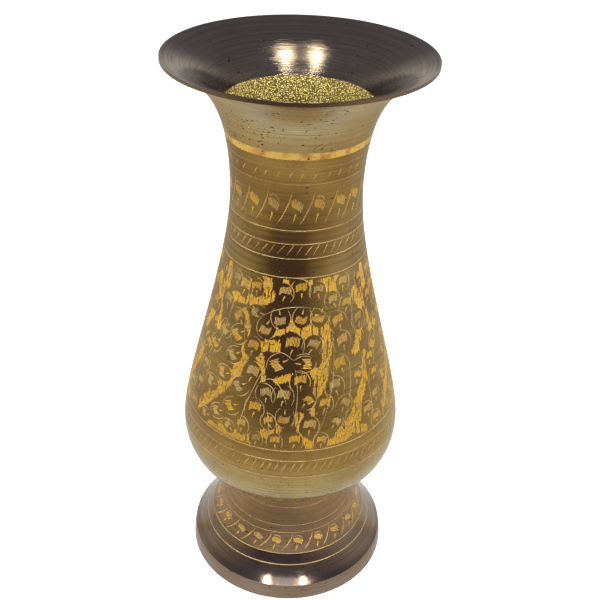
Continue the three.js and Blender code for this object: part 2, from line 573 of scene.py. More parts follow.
class EngravedBand:
    """The outside of a casting, unwrapped flat, with cuts that become part of its mesh.

    A place is an angle in radians and a distance along the outline in millimetres.
    """

    # Spacing of the rows of points that keep the ground round, in millimetres.
    ROW_PITCH = 2.2
    # How near a cut may come to the seam, in radians, and to the edges, in millimetres.
    SEAM_SPARE = 0.012
    EDGE_SPARE = 0.6
    # Share of a straight stroke that each blunt end takes.
    BLUNT_END = 0.12
    # How far a ring line wanders, and how near two points are to be one, in millimetres.
    WANDER = 0.03
    MERGE = 1e-4

    def __init__(self, outline: Outline, rng: random.Random) -> None:
        """Starts with an uncut surface.

        Args:
            outline: The outside of the casting, rising.
            rng: Source of the small unevenness of hand work.
        """
        self.outline = outline
        self.rng = rng
        self.points: list[Point] = []
        self.edges: list[tuple[int, int]] = []
        self.faces: list[list[int]] = []
        self.tones: list[float] = []
        self.depths: dict[int, float] = {}
        self._lay_ground()

    def _lay_ground(self) -> None:
        """Puts even rows of points over the whole surface, so that it stays round."""
        rows = max(2, round(self.outline.length / self.ROW_PITCH))
        for j in range(rows + 1):
            distance = self.outline.length * j / rows
            for i in range(COLUMNS + 1):
                self._put((-math.pi + TAU * i / COLUMNS) * UNWRAP_RADIUS, distance)

    def _put(self, across: float, distance: float) -> int:
        """Adds a point of the unwrapped surface and returns its index."""
        self.points.append((across, distance))
        return len(self.points) - 1

    def radius(self, distance: float) -> float:
        """Radius of the surface at a distance along it."""
        return float(self.outline.at(distance)[0])

    def height_to_distance(self, height: float) -> float:
        """The distance along the surface at a height."""
        return self.outline.distance_at_height(height)

    def cut(self, path: Sequence[Point], chisel: Chisel, tone: float | None = None) -> None:
        """Makes one cut that ends in points, or starts wide.

        Args:
            path: Places along the cut, each an angle and a distance.
            chisel: The cut's width, depth and taper.
            tone: Brightness, where it differs from the chisel's own.
        """
        angles, distances = zip(*path)
        edge = min(min(distances), self.outline.length - max(distances))
        if edge <= self.EDGE_SPARE or max(map(abs, angles)) > math.pi - self.SEAM_SPARE:
            return
        flat = np.array([(angle * self.radius(distance), distance) for angle, distance in path])
        scale = np.array([UNWRAP_RADIUS / self.radius(distance) for _, distance in path])
        way = np.gradient(flat, axis=0)
        way /= np.maximum(np.linalg.norm(way, axis=1, keepdims=True), TINY)
        side = np.stack([-way[:, 1], way[:, 0]], axis=1)
        along = np.concatenate([[0.0], np.cumsum(np.linalg.norm(np.diff(flat, axis=0), axis=1))])
        swell = chisel.taper.swell(along / along[-1])
        half = chisel.half_width * swell
        left = flat + side * half[:, None]
        right = flat - side * half[:, None]
        last = len(path) - 1

        def put(places: np.ndarray, k: int) -> int:
            """Adds one of some places along the cut and returns its index."""
            return self._put(float(places[k][0] * scale[k]), float(places[k][1]))

        start = put(flat, 0)
        first = 0 if chisel.taper is Taper.WEDGE else 1
        rights = [put(right, k) for k in range(first, last)]
        end = put(flat, last)
        lefts = [put(left, k) for k in range(last - 1, first - 1, -1)]
        middles = [put(flat, k) for k in range(1, last)]
        ring = [start, *rights, end, *lefts] if first else [*rights, end, *lefts, start]
        self.faces.append(ring)
        self.tones.append(chisel.tone if tone is None else tone)
        chain = [start, *middles, end]
        self.edges.extend(zip(chain[:-1], chain[1:]))
        for k, index in enumerate(middles, start=1):
            self.depths[index] = chisel.depth * float(swell[k])
        if chisel.taper is Taper.WEDGE:
            self.depths[start] = 0.0

    def stroke(self, foot: Point, top: Point, chisel: Chisel, tone: float | None = None) -> None:
        """Makes one straight cut with short blunt ends.

        Args:
            foot: Place where it starts.
            top: Place where it ends.
            chisel: The cut's width and depth.
            tone: Brightness, where it differs from the chisel's own.
        """
        path = [
            (foot[0] + (top[0] - foot[0]) * share, foot[1] + (top[1] - foot[1]) * share)
            for share in (0.0, self.BLUNT_END, 1 - self.BLUNT_END, 1.0)
        ]
        self.cut(path, chisel, tone)

    def ring(self, distance: float, chisel: Chisel) -> None:
        """Turns a line all the way round.

        Args:
            distance: Where the line is.
            chisel: Its width and depth.
        """
        angles = [-math.pi + TAU * i / COLUMNS for i in range(COLUMNS + 1)]
        levels = [distance + self.WANDER * math.sin(3 * angle + distance) for angle in angles]
        low, mid, high = (
            [self._put(angle * UNWRAP_RADIUS, level + side) for angle, level in zip(angles, levels)]
            for side in (-chisel.half_width, 0.0, chisel.half_width)
        )
        self.faces.append([*low, *reversed(high)])
        self.tones.append(chisel.tone)
        self.edges.extend(zip(mid[:-1], mid[1:]))
        for index in mid:
            self.depths[index] = chisel.depth

    def local(self, angle: float, distance: float, turn: float) -> LocalFrame:
        """A small flat frame on the surface.

        Args:
            angle: Its centre's angle.
            distance: Its centre's distance along the outline.
            turn: How far its Y axis leans from straight up, in radians, to the left when positive.

        Returns:
            A function from millimetres in the frame to a place on the surface.
        """
        radius = self.radius(distance)
        cos, sin = math.cos(turn), math.sin(turn)

        def place(x: float, y: float) -> Point:
            """Moves millimetres in the frame onto the surface."""
            return (angle + (x * cos - y * sin) / radius, distance + x * sin + y * cos)

        return place

    def add_to(
        self, skin: Skin, cut_slot: int, grounds: Sequence[tuple[float, int]], band: Point
    ) -> None:
        """Cuts the surface into triangles and adds it to a skin.

        Args:
            skin: Where the surface goes.
            cut_slot: Material slot of the cuts.
            grounds: Distances from which the uncut ground has each material slot, rising from 0.
            band: Lowest and highest bake coordinate of the surface.
        """
        points = [Vector(p) for p in self.points]
        cut_up = delaunay_2d_cdt(points, self.edges, self.faces, 0, self.MERGE)
        places, _, triangles, origins, _, sources = cut_up
        flat = np.array([(p.x, p.y) for p in places])
        deepest = [max((self.depths.get(i, 0.0) for i in origin), default=0.0) for origin in origins]
        depth = np.array(deepest)
        angle = flat[:, 0] / UNWRAP_RADIUS
        at = self.outline.at(flat[:, 1])
        normal = self.outline.normal(flat[:, 1])
        radius = at[:, 0] - depth * normal[:, 0]
        height = at[:, 1] - depth * normal[:, 1]
        vertices = around(angle, radius, height) * MM
        normals = around(angle, normal[:, 0], normal[:, 1])
        share = flat[:, 1] / self.outline.length
        unwrap = np.stack([(angle + math.pi) / TAU, band[0] + share * (band[1] - band[0])], axis=-1)
        slots, tones, shading = [], [], []
        for source, triangle in zip(sources, triangles):
            middle = float(flat[list(triangle), 1].mean())
            ground = max((start, slot) for start, slot in grounds if start <= middle)[1]
            slots.append(cut_slot if source else ground)
            shading.append(Shading.FACET if source else Shading.TURNED)
            tones.append(max((self.tones[i] for i in source), default=0.5))
        skin.add(vertices, normals, triangles, unwrap, slots, tones, shading)


# --- Ornament ---


def arc_path(
    place: LocalFrame, centre: Point, radii: Point, start: float, stop: float, steps: int
) -> list[Point]:
    """Places along an elliptic arc in a local frame.

    Args:
        place: The local frame.
        centre: Centre of the ellipse, in millimetres.
        radii: Its half width and half height.
        start: Angle of the first place, in degrees from the frame's X axis.
        stop: Angle of the last place.
        steps: How many steps the arc takes.

    Returns:
        The places.
    """
    path = []
    for k in range(steps + 1):
        angle = math.radians(start + (stop - start) * k / steps)
        path.append(place(centre[0] + radii[0] * math.cos(angle), centre[1] + radii[1] * math.sin(angle)))
    return path


@dataclass(frozen=True)
class Leaf:
    """A rounded leaf with an eye of hatched strokes and a tick for its stem.

    Attributes:
        angle: Where its eye is, in degrees from the front.
        height: Height of its eye, in millimetres.
        turn: How far it leans from straight up, in degrees, to the left when positive.
        size: Its length, in millimetres.
        eye: Length of the eye's strokes, as a share of the leaf's length.
    """

    angle: float
    height: float
    turn: float
    size: float = 10.0
    eye: float = 0.40

    # Spacing of the eye's strokes, in millimetres, and the eye's width as a share of the leaf's length.
    EYE_PITCH = 0.56
    EYE_WIDTH = 0.44
    # Half width and half height of the cut outline and of the part kept clear of the background's
    # hatching, and how far below the eye their centre is, all as shares of the leaf's length.
    OUTLINE = (0.40, 0.48)
    CLEARING = (0.38 * 0.97, 0.46 * 0.97)
    DROP = 0.10

    def covers(self, x: np.ndarray, y: np.ndarray, band: EngravedBand) -> np.ndarray:
        """Finds the places that the leaf keeps clear.

        Args:
            x: Angles of the places.
            y: Their distances along the outline.
            band: The surface.

        Returns:
            Whether each place is inside the leaf.
        """
        distance = band.height_to_distance(self.height)
        radius = band.radius(distance)
        dx = (x - math.radians(self.angle)) * radius
        dy = y - distance
        turn = math.radians(self.turn)
        across = dx * math.cos(turn) + dy * math.sin(turn)
        along = -dx * math.sin(turn) + dy * math.cos(turn) + self.DROP * self.size
        half_width, half_height = (share * self.size for share in self.CLEARING)
        return (across / half_width) ** 2 + (along / half_height) ** 2 < 1

    def engrave(self, band: EngravedBand) -> None:
        """Cuts the leaf's outline, its hatched eye and its tick.

        Args:
            band: The surface that it is cut into.
        """
        rng = band.rng
        s = self.size
        distance = band.height_to_distance(self.height)
        place = band.local(math.radians(self.angle), distance, math.radians(self.turn))
        centre = (0.0, -self.DROP * s)
        radii = (self.OUTLINE[0] * s, self.OUTLINE[1] * s)
        tone = rng.uniform(0.35, 0.75)
        right = arc_path(place, centre, radii, rng.uniform(70, 105), -rng.uniform(35, 62), 9)
        band.cut(right, CURL, tone)
        if rng.random() < 0.7:
            left = arc_path(place, centre, radii, rng.uniform(112, 135), rng.uniform(200, 235), 7)
            band.cut(left, CURL, tone)
        self._eye(band, place)
        lean = rng.uniform(-0.05, 0.05) * s
        band.cut([place(0.02 * s, -0.24 * s), place(lean, -0.36 * s), place(2 * lean, -0.50 * s)], WEDGE)

    def _eye(self, band: EngravedBand, place: LocalFrame) -> None:
        """Cuts the close fan of short strokes in the head of the leaf.

        Args:
            band: The surface.
            place: The leaf's own frame.
        """
        rng = band.rng
        s = self.size
        count = round(self.EYE_WIDTH * s / self.EYE_PITCH)
        bright = rng.uniform(0.45, 0.9)
        for k in range(count):
            x = (k - (count - 1) / 2) * self.EYE_PITCH
            away = abs(x) / (self.EYE_WIDTH / 2 * s)
            top = self.eye * s * (0.50 - 0.10 * away * away) + rng.uniform(-0.03, 0.03) * s
            foot = -self.eye * s * (0.40 - 0.24 * (1 - away)) - rng.uniform(0.0, 0.06) * s
            spread = 1 + 0.16 * (top - foot) / s
            tone = bright + rng.uniform(-0.15, 0.1)
            band.stroke(place(x, foot), place(x * spread + 0.06 * s, top), HATCH, tone)


@dataclass(frozen=True)
class Stem:
    """A thin stem that starts at one place, bends towards another and ends at a third.

    Attributes:
        start: Angle in degrees and height in millimetres of its start.
        middle: The same for the place that it bends towards.
        end: The same for its end.
    """

    start: Point
    middle: Point
    end: Point

    STEPS = 14
    TONE = 0.45

    def engrave(self, band: EngravedBand, offset: float) -> None:
        """Cuts the stem as one long curve.

        Args:
            band: The surface that it is cut into.
            offset: Angle that is added to its places, in degrees.
        """
        path = []
        knots = (self.start, self.middle, self.end)
        for k in range(self.STEPS + 1):
            t = k / self.STEPS
            weights = ((1 - t) ** 2, 2 * t * (1 - t), t * t)
            angle = sum(weight * (knot[0] + offset) for weight, knot in zip(weights, knots))
            height = sum(weight * knot[1] for weight, knot in zip(weights, knots))
            path.append((math.radians(angle), band.height_to_distance(height)))
        band.cut(path, CURL, self.TONE)


@dataclass(frozen=True)
class GoldDrift:
    """A drift of close background hatching that runs from one place to another.

    Attributes:
        start: Angle in degrees and height in millimetres of one end.
        end: The same for the other end.
        width: Greatest width of the drift, in millimetres.
    """

    start: Point
    end: Point
    width: float

    # Millimetres to a degree of the field, taken as even over it.
    SCALE = 0.72

    def reach(self, angle: np.ndarray, height: np.ndarray) -> np.ndarray:
        """How far inside the drift some places are.

        Args:
            angle: Their angles, in degrees.
            height: Their heights, in millimetres.

        Returns:
            1 on the drift's middle line, falling to 0 at its edge and less outside.
        """
        ax, ay = self.start[0] * self.SCALE, self.start[1]
        bx, by = self.end[0] * self.SCALE, self.end[1]
        px, py = angle * self.SCALE, height
        dx, dy = bx - ax, by - ay
        t = np.clip(((px - ax) * dx + (py - ay) * dy) / max(dx * dx + dy * dy, TINY), 0.0, 1.0)
        gap = np.hypot(px - ax - t * dx, py - ay - t * dy)
        return 1 - gap / (self.width / 2)


class FoliagePanel:
    """One third of the main field: leafy sprays on curving stems over drifts of gold hatching."""

    # Angle that one panel takes, in degrees.
    SPAN = 120.0
    # Angle, height, turn, size and eye of each leaf.
    LEAVES = tuple(Leaf(*row) for row in (
        (-7, 163.5, 8), (5, 164.5, 6), (18, 163.5, 4, 9.5), (29, 158.5, 4, 9.5), (39, 165.5, 0, 9.5),
        (-27, 152, 90, 9.5), (-18, 146, 176, 11), (-8, 151, 182, 10.5), (6, 151.5, 165, 10.5),
        (18.5, 151.5, 160, 10.5), (0, 141.5, 0, 12.5), (13.5, 141, -24, 10.5), (-9, 131.5, 122, 12),
        (9.5, 133.2, -80, 11), (5, 125.5, 4, 11), (-4.5, 119.5, -8, 12), (-3, 108.5, 178, 10.5),
        (-26, 138.5, 4, 11, 0.42), (-24, 127, -2, 12, 0.46), (-15, 119, 8, 11), (-20.5, 112, 4, 11),
        (-12, 107.5, 20, 8.5), (32, 149, 16, 11), (34, 140, 18, 11), (30.5, 130, 20, 12, 0.46),
        (26, 121.5, 12, 11.5), (19, 114.5, 0, 11), (9.5, 117, -40, 10), (10, 106, -6, 11),
        (2, 99.6, 2, 9.5), (-8, 98.6, 6, 9), (-18, 98.2, 4, 8.5), (16.5, 98.4, -10, 9),
        (32, 112.5, -34, 10), (25.5, 105, -36, 9.5), (-41, 148, 44, 10), (-38.5, 140, 138, 10.5),
        (-39.5, 130.5, 132, 10), (-31.5, 118.5, 132, 11), (-45, 121, 104, 10), (-53.5, 113.5, 92, 9.5),
        (-35.5, 108.5, 122, 10.5), (-44, 102.5, 112, 9.5), (-53, 97.6, 100, 8), (-27, 103, 14, 9.5),
        (-35, 99.6, 60, 7.5), (-53.5, 153, -8, 10.5), (-50, 139, 150, 10), (-57, 130, 140, 10),
        (-48, 163.5, 6, 9), (-39, 162, 0, 10.5, 0.5), (-29, 163.5, 10, 9, 0.4), (50, 146.5, 4, 10.5),
        (41, 155, -14, 9.5), (56, 127, -18, 10), (43, 122.5, -20, 9.5), (46.5, 104.5, 2, 9.5),
        (55, 109, 4, 9.5), (57.5, 118.5, -6, 9), (53, 98.4, 0, 8.5), (58, 141, 8, 9), (58, 163, 0, 9),
    ))
    # Start, middle and end of each stem.
    STEMS = tuple(Stem(*row) for row in (
        ((-24, 150), (-8, 159), (13, 156)), ((13, 156), (24, 156), (27, 147)),
        ((1, 134), (-5, 138.6), (-13, 137)), ((1, 134), (7, 137.4), (13, 135)),
        ((-20, 122), (-8, 131.6), (-2, 114)), ((2, 131), (6, 119), (1, 104)),
        ((27, 147), (30, 124), (14, 100)), ((-33, 167), (-37, 150), (-31, 136)),
        ((-31, 136), (-34, 116), (-58, 105)), ((-14, 133), (-27, 116), (-29, 96)),
        ((46, 167), (43, 146), (48, 130)), ((48, 130), (54, 112), (49, 96)),
        ((-47, 158), (-47, 142), (-58, 124)), ((38, 134), (40, 118), (27, 98)),
        ((-13, 112), (-10, 102), (-13, 96)),
    ))
    # Start, end and width of each drift.
    DRIFTS = tuple(GoldDrift(*row) for row in (
        ((-47, 155), (-21, 158), 4.6), ((-21, 170), (-17, 160), 5.4), ((-35, 151), (-31, 145), 3.6),
        ((-31, 145), (-32, 134), 3.6), ((-11, 146), (-1, 149), 4.8), ((3, 147), (13, 146), 6.2),
        ((-20, 139), (-8, 140), 5.4), ((-20, 134), (-17, 125), 3.8), ((22, 147), (23, 139), 4.8),
        ((23, 139), (21, 130), 5.0), ((21, 130), (15, 119), 5.2), ((15, 119), (13, 111), 3.6),
        ((-31, 132), (-35, 124), 5.0), ((-35, 124), (-45, 113), 5.2), ((-45, 113), (-62, 97), 4.6),
        ((50, 158), (55, 151), 5.2), ((51, 141), (44, 133), 4.6), ((51, 130), (48, 119), 3.2),
        ((48, 119), (41, 110), 4.6), ((41, 110), (38, 104), 5.2), ((38, 104), (25, 95), 7.2),
        ((39, 98), (45, 96), 4.4), ((-48, 95), (-42, 94.6), 4.0), ((-37, 96.5), (-24, 95.6), 6.6),
        ((-13, 101), (-7, 104), 5.0), ((-6, 169), (-5, 167), 4.0), ((11, 169), (12, 167), 4.0),
        ((24, 168), (29, 163), 5.6), ((-8, 125), (-1, 127), 3.8), ((14, 129), (18, 122), 4.0),
        ((5, 110), (6, 104), 3.8), ((-59, 168), (-57, 158), 4.6), ((-60, 147), (-58, 138), 3.8),
        ((59, 158), (62, 148), 4.0), ((10, 96), (8, 101), 3.4), ((34, 169), (33, 163), 3.4),
    ))
    # Spacing of the background's columns and of the places tried along them, in millimetres.
    STROKE_PITCH = 0.54
    STEP = 0.3
    # Share of the background's strokes that are cut.
    COVER = 0.9
    # How far the hatching keeps from the field's rings, in millimetres.
    RING_SPARE = 0.9
    # How near an eye may come to the lower and the upper ring, in millimetres.
    EYE_SPARE = (3.4, 4.0)
    # Least and greatest length of the background's strokes, in millimetres, and the gap between them.
    STROKE_LEAST = 0.7
    STROKE_LENGTHS = (2.6, 5.6)
    STROKE_GAP = 0.03

    def __init__(self, band: EngravedBand, low: float, high: float) -> None:
        """Prepares the panel.

        Args:
            band: The surface that it is cut into.
            low: Height of the field's lower ring, in millimetres.
            high: Height of the field's upper ring.
        """
        self.band = band
        self.low = low
        self.high = high

    def engrave(self, middle: float, unevenness: float) -> None:
        """Cuts the panel.

        Args:
            middle: Angle of its middle line, in degrees from the front.
            unevenness: How far its leaves stray from the pattern, in millimetres.
        """
        rng = self.band.rng
        leaves = []
        for leaf in self.LEAVES:
            drift = (rng.uniform(-1, 1) * unevenness, rng.uniform(-1, 1) * unevenness)
            height = max(leaf.height + drift[1], self.low + self.EYE_SPARE[0])
            height = min(height, self.high - self.EYE_SPARE[1])
            turn = leaf.turn + rng.uniform(-6, 6)
            size = leaf.size * rng.uniform(0.95, 1.04)
            leaves.append(Leaf(middle + leaf.angle + drift[0], height, turn, size, leaf.eye))
        for leaf in leaves:
            leaf.engrave(self.band)
        for stem in self.STEMS:
            stem.engrave(self.band, middle)
        self._hatch(middle, leaves)

    def _hatch(self, middle: float, leaves: Sequence[Leaf]) -> None:
        """Fills the drifts with close strokes that stop where a leaf begins.

        Args:
            middle: Angle of the panel's middle line, in degrees from the front.
            leaves: Its leaves.
        """
        band = self.band
        rng = band.rng
        low = band.height_to_distance(self.low) + self.RING_SPARE
        high = band.height_to_distance(self.high) - self.RING_SPARE
        columns = int(math.radians(self.SPAN) * UNWRAP_RADIUS / self.STROKE_PITCH)
        angles = self.SPAN * ((np.arange(columns) + 0.5) / columns - 0.5)
        levels = np.arange(low, high, self.STEP)
        angle, level = np.meshgrid(angles, levels, indexing="ij")
        height = band.outline.at(level)[..., 1]
        depth = np.max([drift.reach(angle, height) for drift in self.DRIFTS], axis=0)
        spread = np.array([[rng.uniform(-0.12, 0.16)] for _ in angles])
        filled = depth > spread
        for leaf in leaves:
            filled &= ~leaf.covers(np.radians(angle + middle), level, band)
        for column, where in zip(angles, filled):
            self._fill_column(math.radians(middle + column), levels, where)

    def _fill_column(self, angle: float, levels: np.ndarray, where: np.ndarray) -> None:
        """Cuts the strokes of one column.

        Args:
            angle: The column's angle.
            levels: Distances at which the column was sampled.
            where: Whether each of them is to be filled.
        """
        band = self.band
        rng = band.rng
        marks = np.flatnonzero(np.diff(np.concatenate([[0], where.astype(int), [0]])))
        for start, stop in zip(marks[::2], marks[1::2]):
            bottom = float(levels[start]) - rng.uniform(0.0, 0.3)
            end = float(levels[stop - 1]) + rng.uniform(0.0, 0.3)
            while end - bottom > self.STROKE_LEAST:
                top = min(end, bottom + rng.uniform(*self.STROKE_LENGTHS))
                lean = rng.uniform(-0.02, 0.10) / band.radius(bottom) * (top - bottom) / 2
                if rng.random() < self.COVER:
                    tone = rng.uniform(0.62, 1.0)
                    band.stroke((angle - lean, bottom), (angle + lean, top), FILL, tone)
                bottom = top + self.STROKE_GAP


class BorderPatterns:
    """The rows of small repeated cuts between ring lines."""

    SEED_STROKES = 8
    # The long stroke between two seeds, as shares of its lean and of half the row's height.
    LONG_STROKE = ((0.50, 0.96), (0.36, 0.45), (0.06, -0.15), (-0.24, -0.62), (-0.50, -0.92))

    def __init__(self, band: EngravedBand) -> None:
        """Keeps the surface that the rows are cut into."""
        self.band = band

    def slanted_ticks(
        self, low: float, high: float, count: int, lean: float, chisel: Chisel = FLICK
    ) -> None:
        """Cuts a row of slanted ticks.

        Args:
            low: Height of the row's foot, in millimetres.
            high: Height of its top.
            count: How many ticks go round.
            lean: Sideways run from foot to top, in millimetres.
            chisel: The cut.
        """
        band = self.band
        rng = band.rng
        foot, top = band.height_to_distance(low), band.height_to_distance(high)
        for k in range(count):
            angle = -math.pi + TAU * (k + 0.5 + rng.uniform(-0.12, 0.12)) / count
            place = band.local(angle, (foot + top) / 2, 0.0)
            reach = (top - foot) / 2 * rng.uniform(0.82, 1.0)
            slant = lean / 2 * rng.uniform(0.75, 1.2)
            bend = 0.12 * reach
            path = [place(slant, reach), place(bend, 0.25 * reach), place(-slant, -reach)]
            band.cut(path, chisel, rng.uniform(0.4, 0.8))

    def seed_row(self, low: float, high: float, count: int, lean: float) -> None:
        """Cuts a row of curved slanted strokes with a hatched seed and a tick between each two.

        Args:
            low: Height of the row's foot, in millimetres.
            high: Height of its top.
            count: How many seeds go round.
            lean: Sideways run of the long strokes, in millimetres.
        """
        band = self.band
        rng = band.rng
        foot, top = band.height_to_distance(low), band.height_to_distance(high)
        tall = (top - foot) / 2
        for k in range(count):
            angle = -math.pi + TAU * (k + 0.5 + rng.uniform(-0.05, 0.05)) / count
            pitch = TAU / count * band.radius((foot + top) / 2)
            place = band.local(angle, (foot + top) / 2, 0.0)
            path = [place(lean * across - pitch / 2, tall * up) for across, up in self.LONG_STROKE]
            band.cut(path, FLICK, rng.uniform(0.5, 0.8))
            self._seed(place, tall, lean)

    def _seed(self, place: LocalFrame, tall: float, lean: float) -> None:
        """Cuts one hatched fan with an arc over it and a tick under it.

        Args:
            place: The seed's own frame.
            tall: Half the row's height, in millimetres.
            lean: Sideways run of the long strokes, in millimetres.
        """
        rng = self.band.rng
        middle = (self.SEED_STROKES - 1) / 2
        for n in range(self.SEED_STROKES):
            away = (n - middle) / middle
            top = tall * (0.50 - 0.16 * away * away - 0.10 * away) * rng.uniform(0.92, 1.06)
            foot = tall * (-0.06 - 0.12 * away) * rng.uniform(0.6, 1.2)
            x_top = away * 2.2 + 0.10 * lean
            x_foot = away * 1.5 + 0.02 * lean
            self.band.stroke(place(x_foot, foot), place(x_top, top), HATCH, rng.uniform(0.5, 0.9))
        if rng.random() < 0.6:
            self.band.cut(arc_path(place, (0.3, tall * 0.1), (2.7, tall * 0.56), 130, 20, 6), CURL, 0.4)
        path = [place(-0.1, -tall * 0.30), place(-0.5, -tall * 0.52), place(-1.1, -tall * 0.82)]
        self.band.cut(path, WEDGE, 0.8)

    def punched_fans(self, low: float, high: float, count: int) -> None:
        """Cuts a row of small hatched fans with a dot between each two.

        Args:
            low: Height of the row's foot, in millimetres.
            high: Height of its top.
            count: How many fans go round.
        """
        band = self.band
        rng = band.rng
        foot, top = band.height_to_distance(low), band.height_to_distance(high)
        for k in range(count):
            angle = -math.pi + TAU * (k + 0.5 + rng.uniform(-0.1, 0.1)) / count
            place = band.local(angle, (foot + top) / 2, 0.0)
            tall = (top - foot) / 2
            for n in range(-2, 3):
                x = n * 0.55
                tone = rng.uniform(0.4, 0.8)
                band.stroke(place(x * 1.1, -tall * 0.9), place(x * 0.8, tall * 0.05), HATCH, tone)
            dot = band.local(angle + math.pi / count, foot + (top - foot) * 0.86, 0.0)
            band.cut([dot(0.1, 0.55), dot(0, 0.0), dot(-0.1, -0.5)], WEDGE, 0.6)


# --- Finishes ---


class Nodes:
    """A short way to make and join shader nodes in one tree."""

    def __init__(self, tree: Tree) -> None:
        """Keeps the tree."""
        self.tree = tree

    def feed(self, node: Node, inputs: dict[str | int, Value]) -> None:
        """Sets inputs of a node, or joins outputs of other nodes to them.

        Args:
            node: The node.
            inputs: What each input gets, by its name or number.
        """
        for key, value in inputs.items():
            if isinstance(value, bpy.types.NodeSocket):
                self.tree.links.new(value, node.inputs[key])
            else:
                node.inputs[key].default_value = value

    def add(self, kind: str, inputs: dict[str | int, Value] | None = None, **settings: object) -> Node:
        """Makes a node.

        Args:
            kind: Its type.
            inputs: What each of its inputs gets.
            settings: Its properties.

        Returns:
            The node.
        """
        node = self.tree.nodes.new(kind)
        for name, value in settings.items():
            setattr(node, name, value)
        self.feed(node, inputs or {})
        return node

    def math(self, operation: str, *values: float | Socket, clamp: bool = False) -> Socket:
        """A Math node's output.

        Args:
            operation: Its operation.
            values: Its inputs, in order.
            clamp: Whether its result is kept from 0 to 1.

        Returns:
            Its output.
        """
        inputs = dict(enumerate(values))
        return self.add("ShaderNodeMath", inputs, operation=operation, use_clamp=clamp).outputs[0]

    def mix(self, factor: float | Socket, a: Colour | Socket, b: Colour | Socket) -> Socket:
        """A colour mix.

        Args:
            factor: How much of the second colour shows.
            a: The first colour.
            b: The second colour.

        Returns:
            The mixed colour.
        """
        a, b = ((*colour, 1.0) if isinstance(colour, tuple) else colour for colour in (a, b))
        return self.add("ShaderNodeMix", {0: factor, 6: a, 7: b}, data_type="RGBA").outputs[2]

    def spread(
        self, value: Socket, low: float, high: float, to_low: float = 0.0, to_high: float = 1.0
    ) -> Socket:
        """A value moved from one range to another and kept inside it.

        Args:
            value: The value.
            low: Start of the range that it has.
            high: End of that range.
            to_low: What the start becomes.
            to_high: What the end becomes.

        Returns:
            The moved value.
        """
        inputs = dict(enumerate((value, low, high, to_low, to_high)))
        return self.add("ShaderNodeMapRange", inputs, clamp=True).outputs[0]

    def noise(self, place: Socket, scale: float, detail: float = 3.0, roughness: float = 0.55) -> Socket:
        """A soft random value that changes from place to place.

        Args:
            place: Where it is read.
            scale: How many swells there are to a metre.
            detail: How many finer layers it has.
            roughness: How strong the finer layers are.

        Returns:
            The value.
        """
        inputs = {"Vector": place, "Scale": scale, "Detail": detail, "Roughness": roughness}
        return self.add("ShaderNodeTexNoise", inputs).outputs[0]

    def lines(self, along: Socket, scale: float, detail: float, roughness: float) -> Socket:
        """The same along a single way, which gives lines across it."""
        inputs = {"W": along, "Scale": scale, "Detail": detail, "Roughness": roughness}
        return self.add("ShaderNodeTexNoise", inputs, noise_dimensions="1D").outputs[0]

    def squeezed(self, place: Socket, upward: float) -> Socket:
        """Places with their height multiplied, so that a pattern lies flatter."""
        inputs = {"Vector": place, "Scale": (1.0, 1.0, upward)}
        return self.add("ShaderNodeMapping", inputs).outputs[0]

    def parts(self, vector: Socket) -> tuple[Socket, Socket, Socket]:
        """The X, Y and Z of a vector."""
        return tuple(self.add("ShaderNodeSeparateXYZ", {0: vector}).outputs)

    def radius(self, x: Socket, y: Socket) -> Socket:
        """The distance from the axis."""
        squares = self.math("ADD", self.math("MULTIPLY", x, x), self.math("MULTIPLY", y, y))
        return self.math("SQRT", squares)


class Group(Enum):
    """The shader node groups that several finishes use."""

    LATHE = "lathe_lines"
    PATINA = "patina_clouds"
    PITS = "casting_pits"
    GRAIN = "sand_cast_grain"

    def tree(self) -> Tree:
        """Builds the group at its first use.

        Returns:
            Its tree.
        """
        builders = {
            Group.LATHE: build_lathe_group,
            Group.PATINA: build_patina_group,
            Group.PITS: build_pit_group,
            Group.GRAIN: build_grain_group,
        }
        return bpy.data.node_groups.get(self.value) or builders[self]()

    def start(self, inputs: dict[str, float], outputs: Sequence[str]) -> tuple[Nodes, Node, Node]:
        """Starts the group's tree.

        Args:
            inputs: Names and defaults of its number inputs.
            outputs: Names of its number outputs.

        Returns:
            The group's node maker, its input node and its output node.
        """
        tree = bpy.data.node_groups.new(self.value, "ShaderNodeTree")
        tree.interface.new_socket("Place", in_out="INPUT", socket_type="NodeSocketVector")
        for label, default in inputs.items():
            socket = tree.interface.new_socket(label, in_out="INPUT", socket_type="NodeSocketFloat")
            socket.default_value = default
        for label in outputs:
            tree.interface.new_socket(label, in_out="OUTPUT", socket_type="NodeSocketFloat")
        nodes = Nodes(tree)
        return nodes, nodes.add("NodeGroupInput"), nodes.add("NodeGroupOutput")


def build_lathe_group() -> Tree:
    """Builds turning lines of many widths round the axis, a little broken up along their length.

    Returns:
        The group's tree.
    """
    nodes, source, sink = Group.LATHE.start({"Pitch": 800.0, "Deep Lines": 0.5}, ("Height", "Mask"))
    place = source.outputs["Place"]
    x, y, z = nodes.parts(place)
    drift = nodes.math("MULTIPLY", nodes.noise(place, 30.0, 1.0), 0.0012)
    profile = nodes.math("ADD", z, nodes.math("MULTIPLY", nodes.radius(x, y), 0.83))
    along = nodes.math("ADD", profile, drift)
    fine = nodes.lines(nodes.math("MULTIPLY", along, source.outputs["Pitch"]), 1.0, 4.0, 0.75)
    coarse = nodes.lines(along, 330.0, 2.0, 0.5)
    deep = nodes.math("MULTIPLY", nodes.spread(coarse, 0.60, 0.70), source.outputs["Deep Lines"])
    worn = nodes.spread(nodes.noise(place, 55.0), 0.35, 0.65, 0.35, 1.0)
    scratches = nodes.math("MULTIPLY", nodes.spread(fine, 0.47, 0.61), worn)
    mask = nodes.math("MAXIMUM", scratches, nodes.math("MULTIPLY", deep, 0.8))
    nodes.feed(sink, {"Height": nodes.math("SUBTRACT", fine, deep), "Mask": mask})
    return nodes.tree


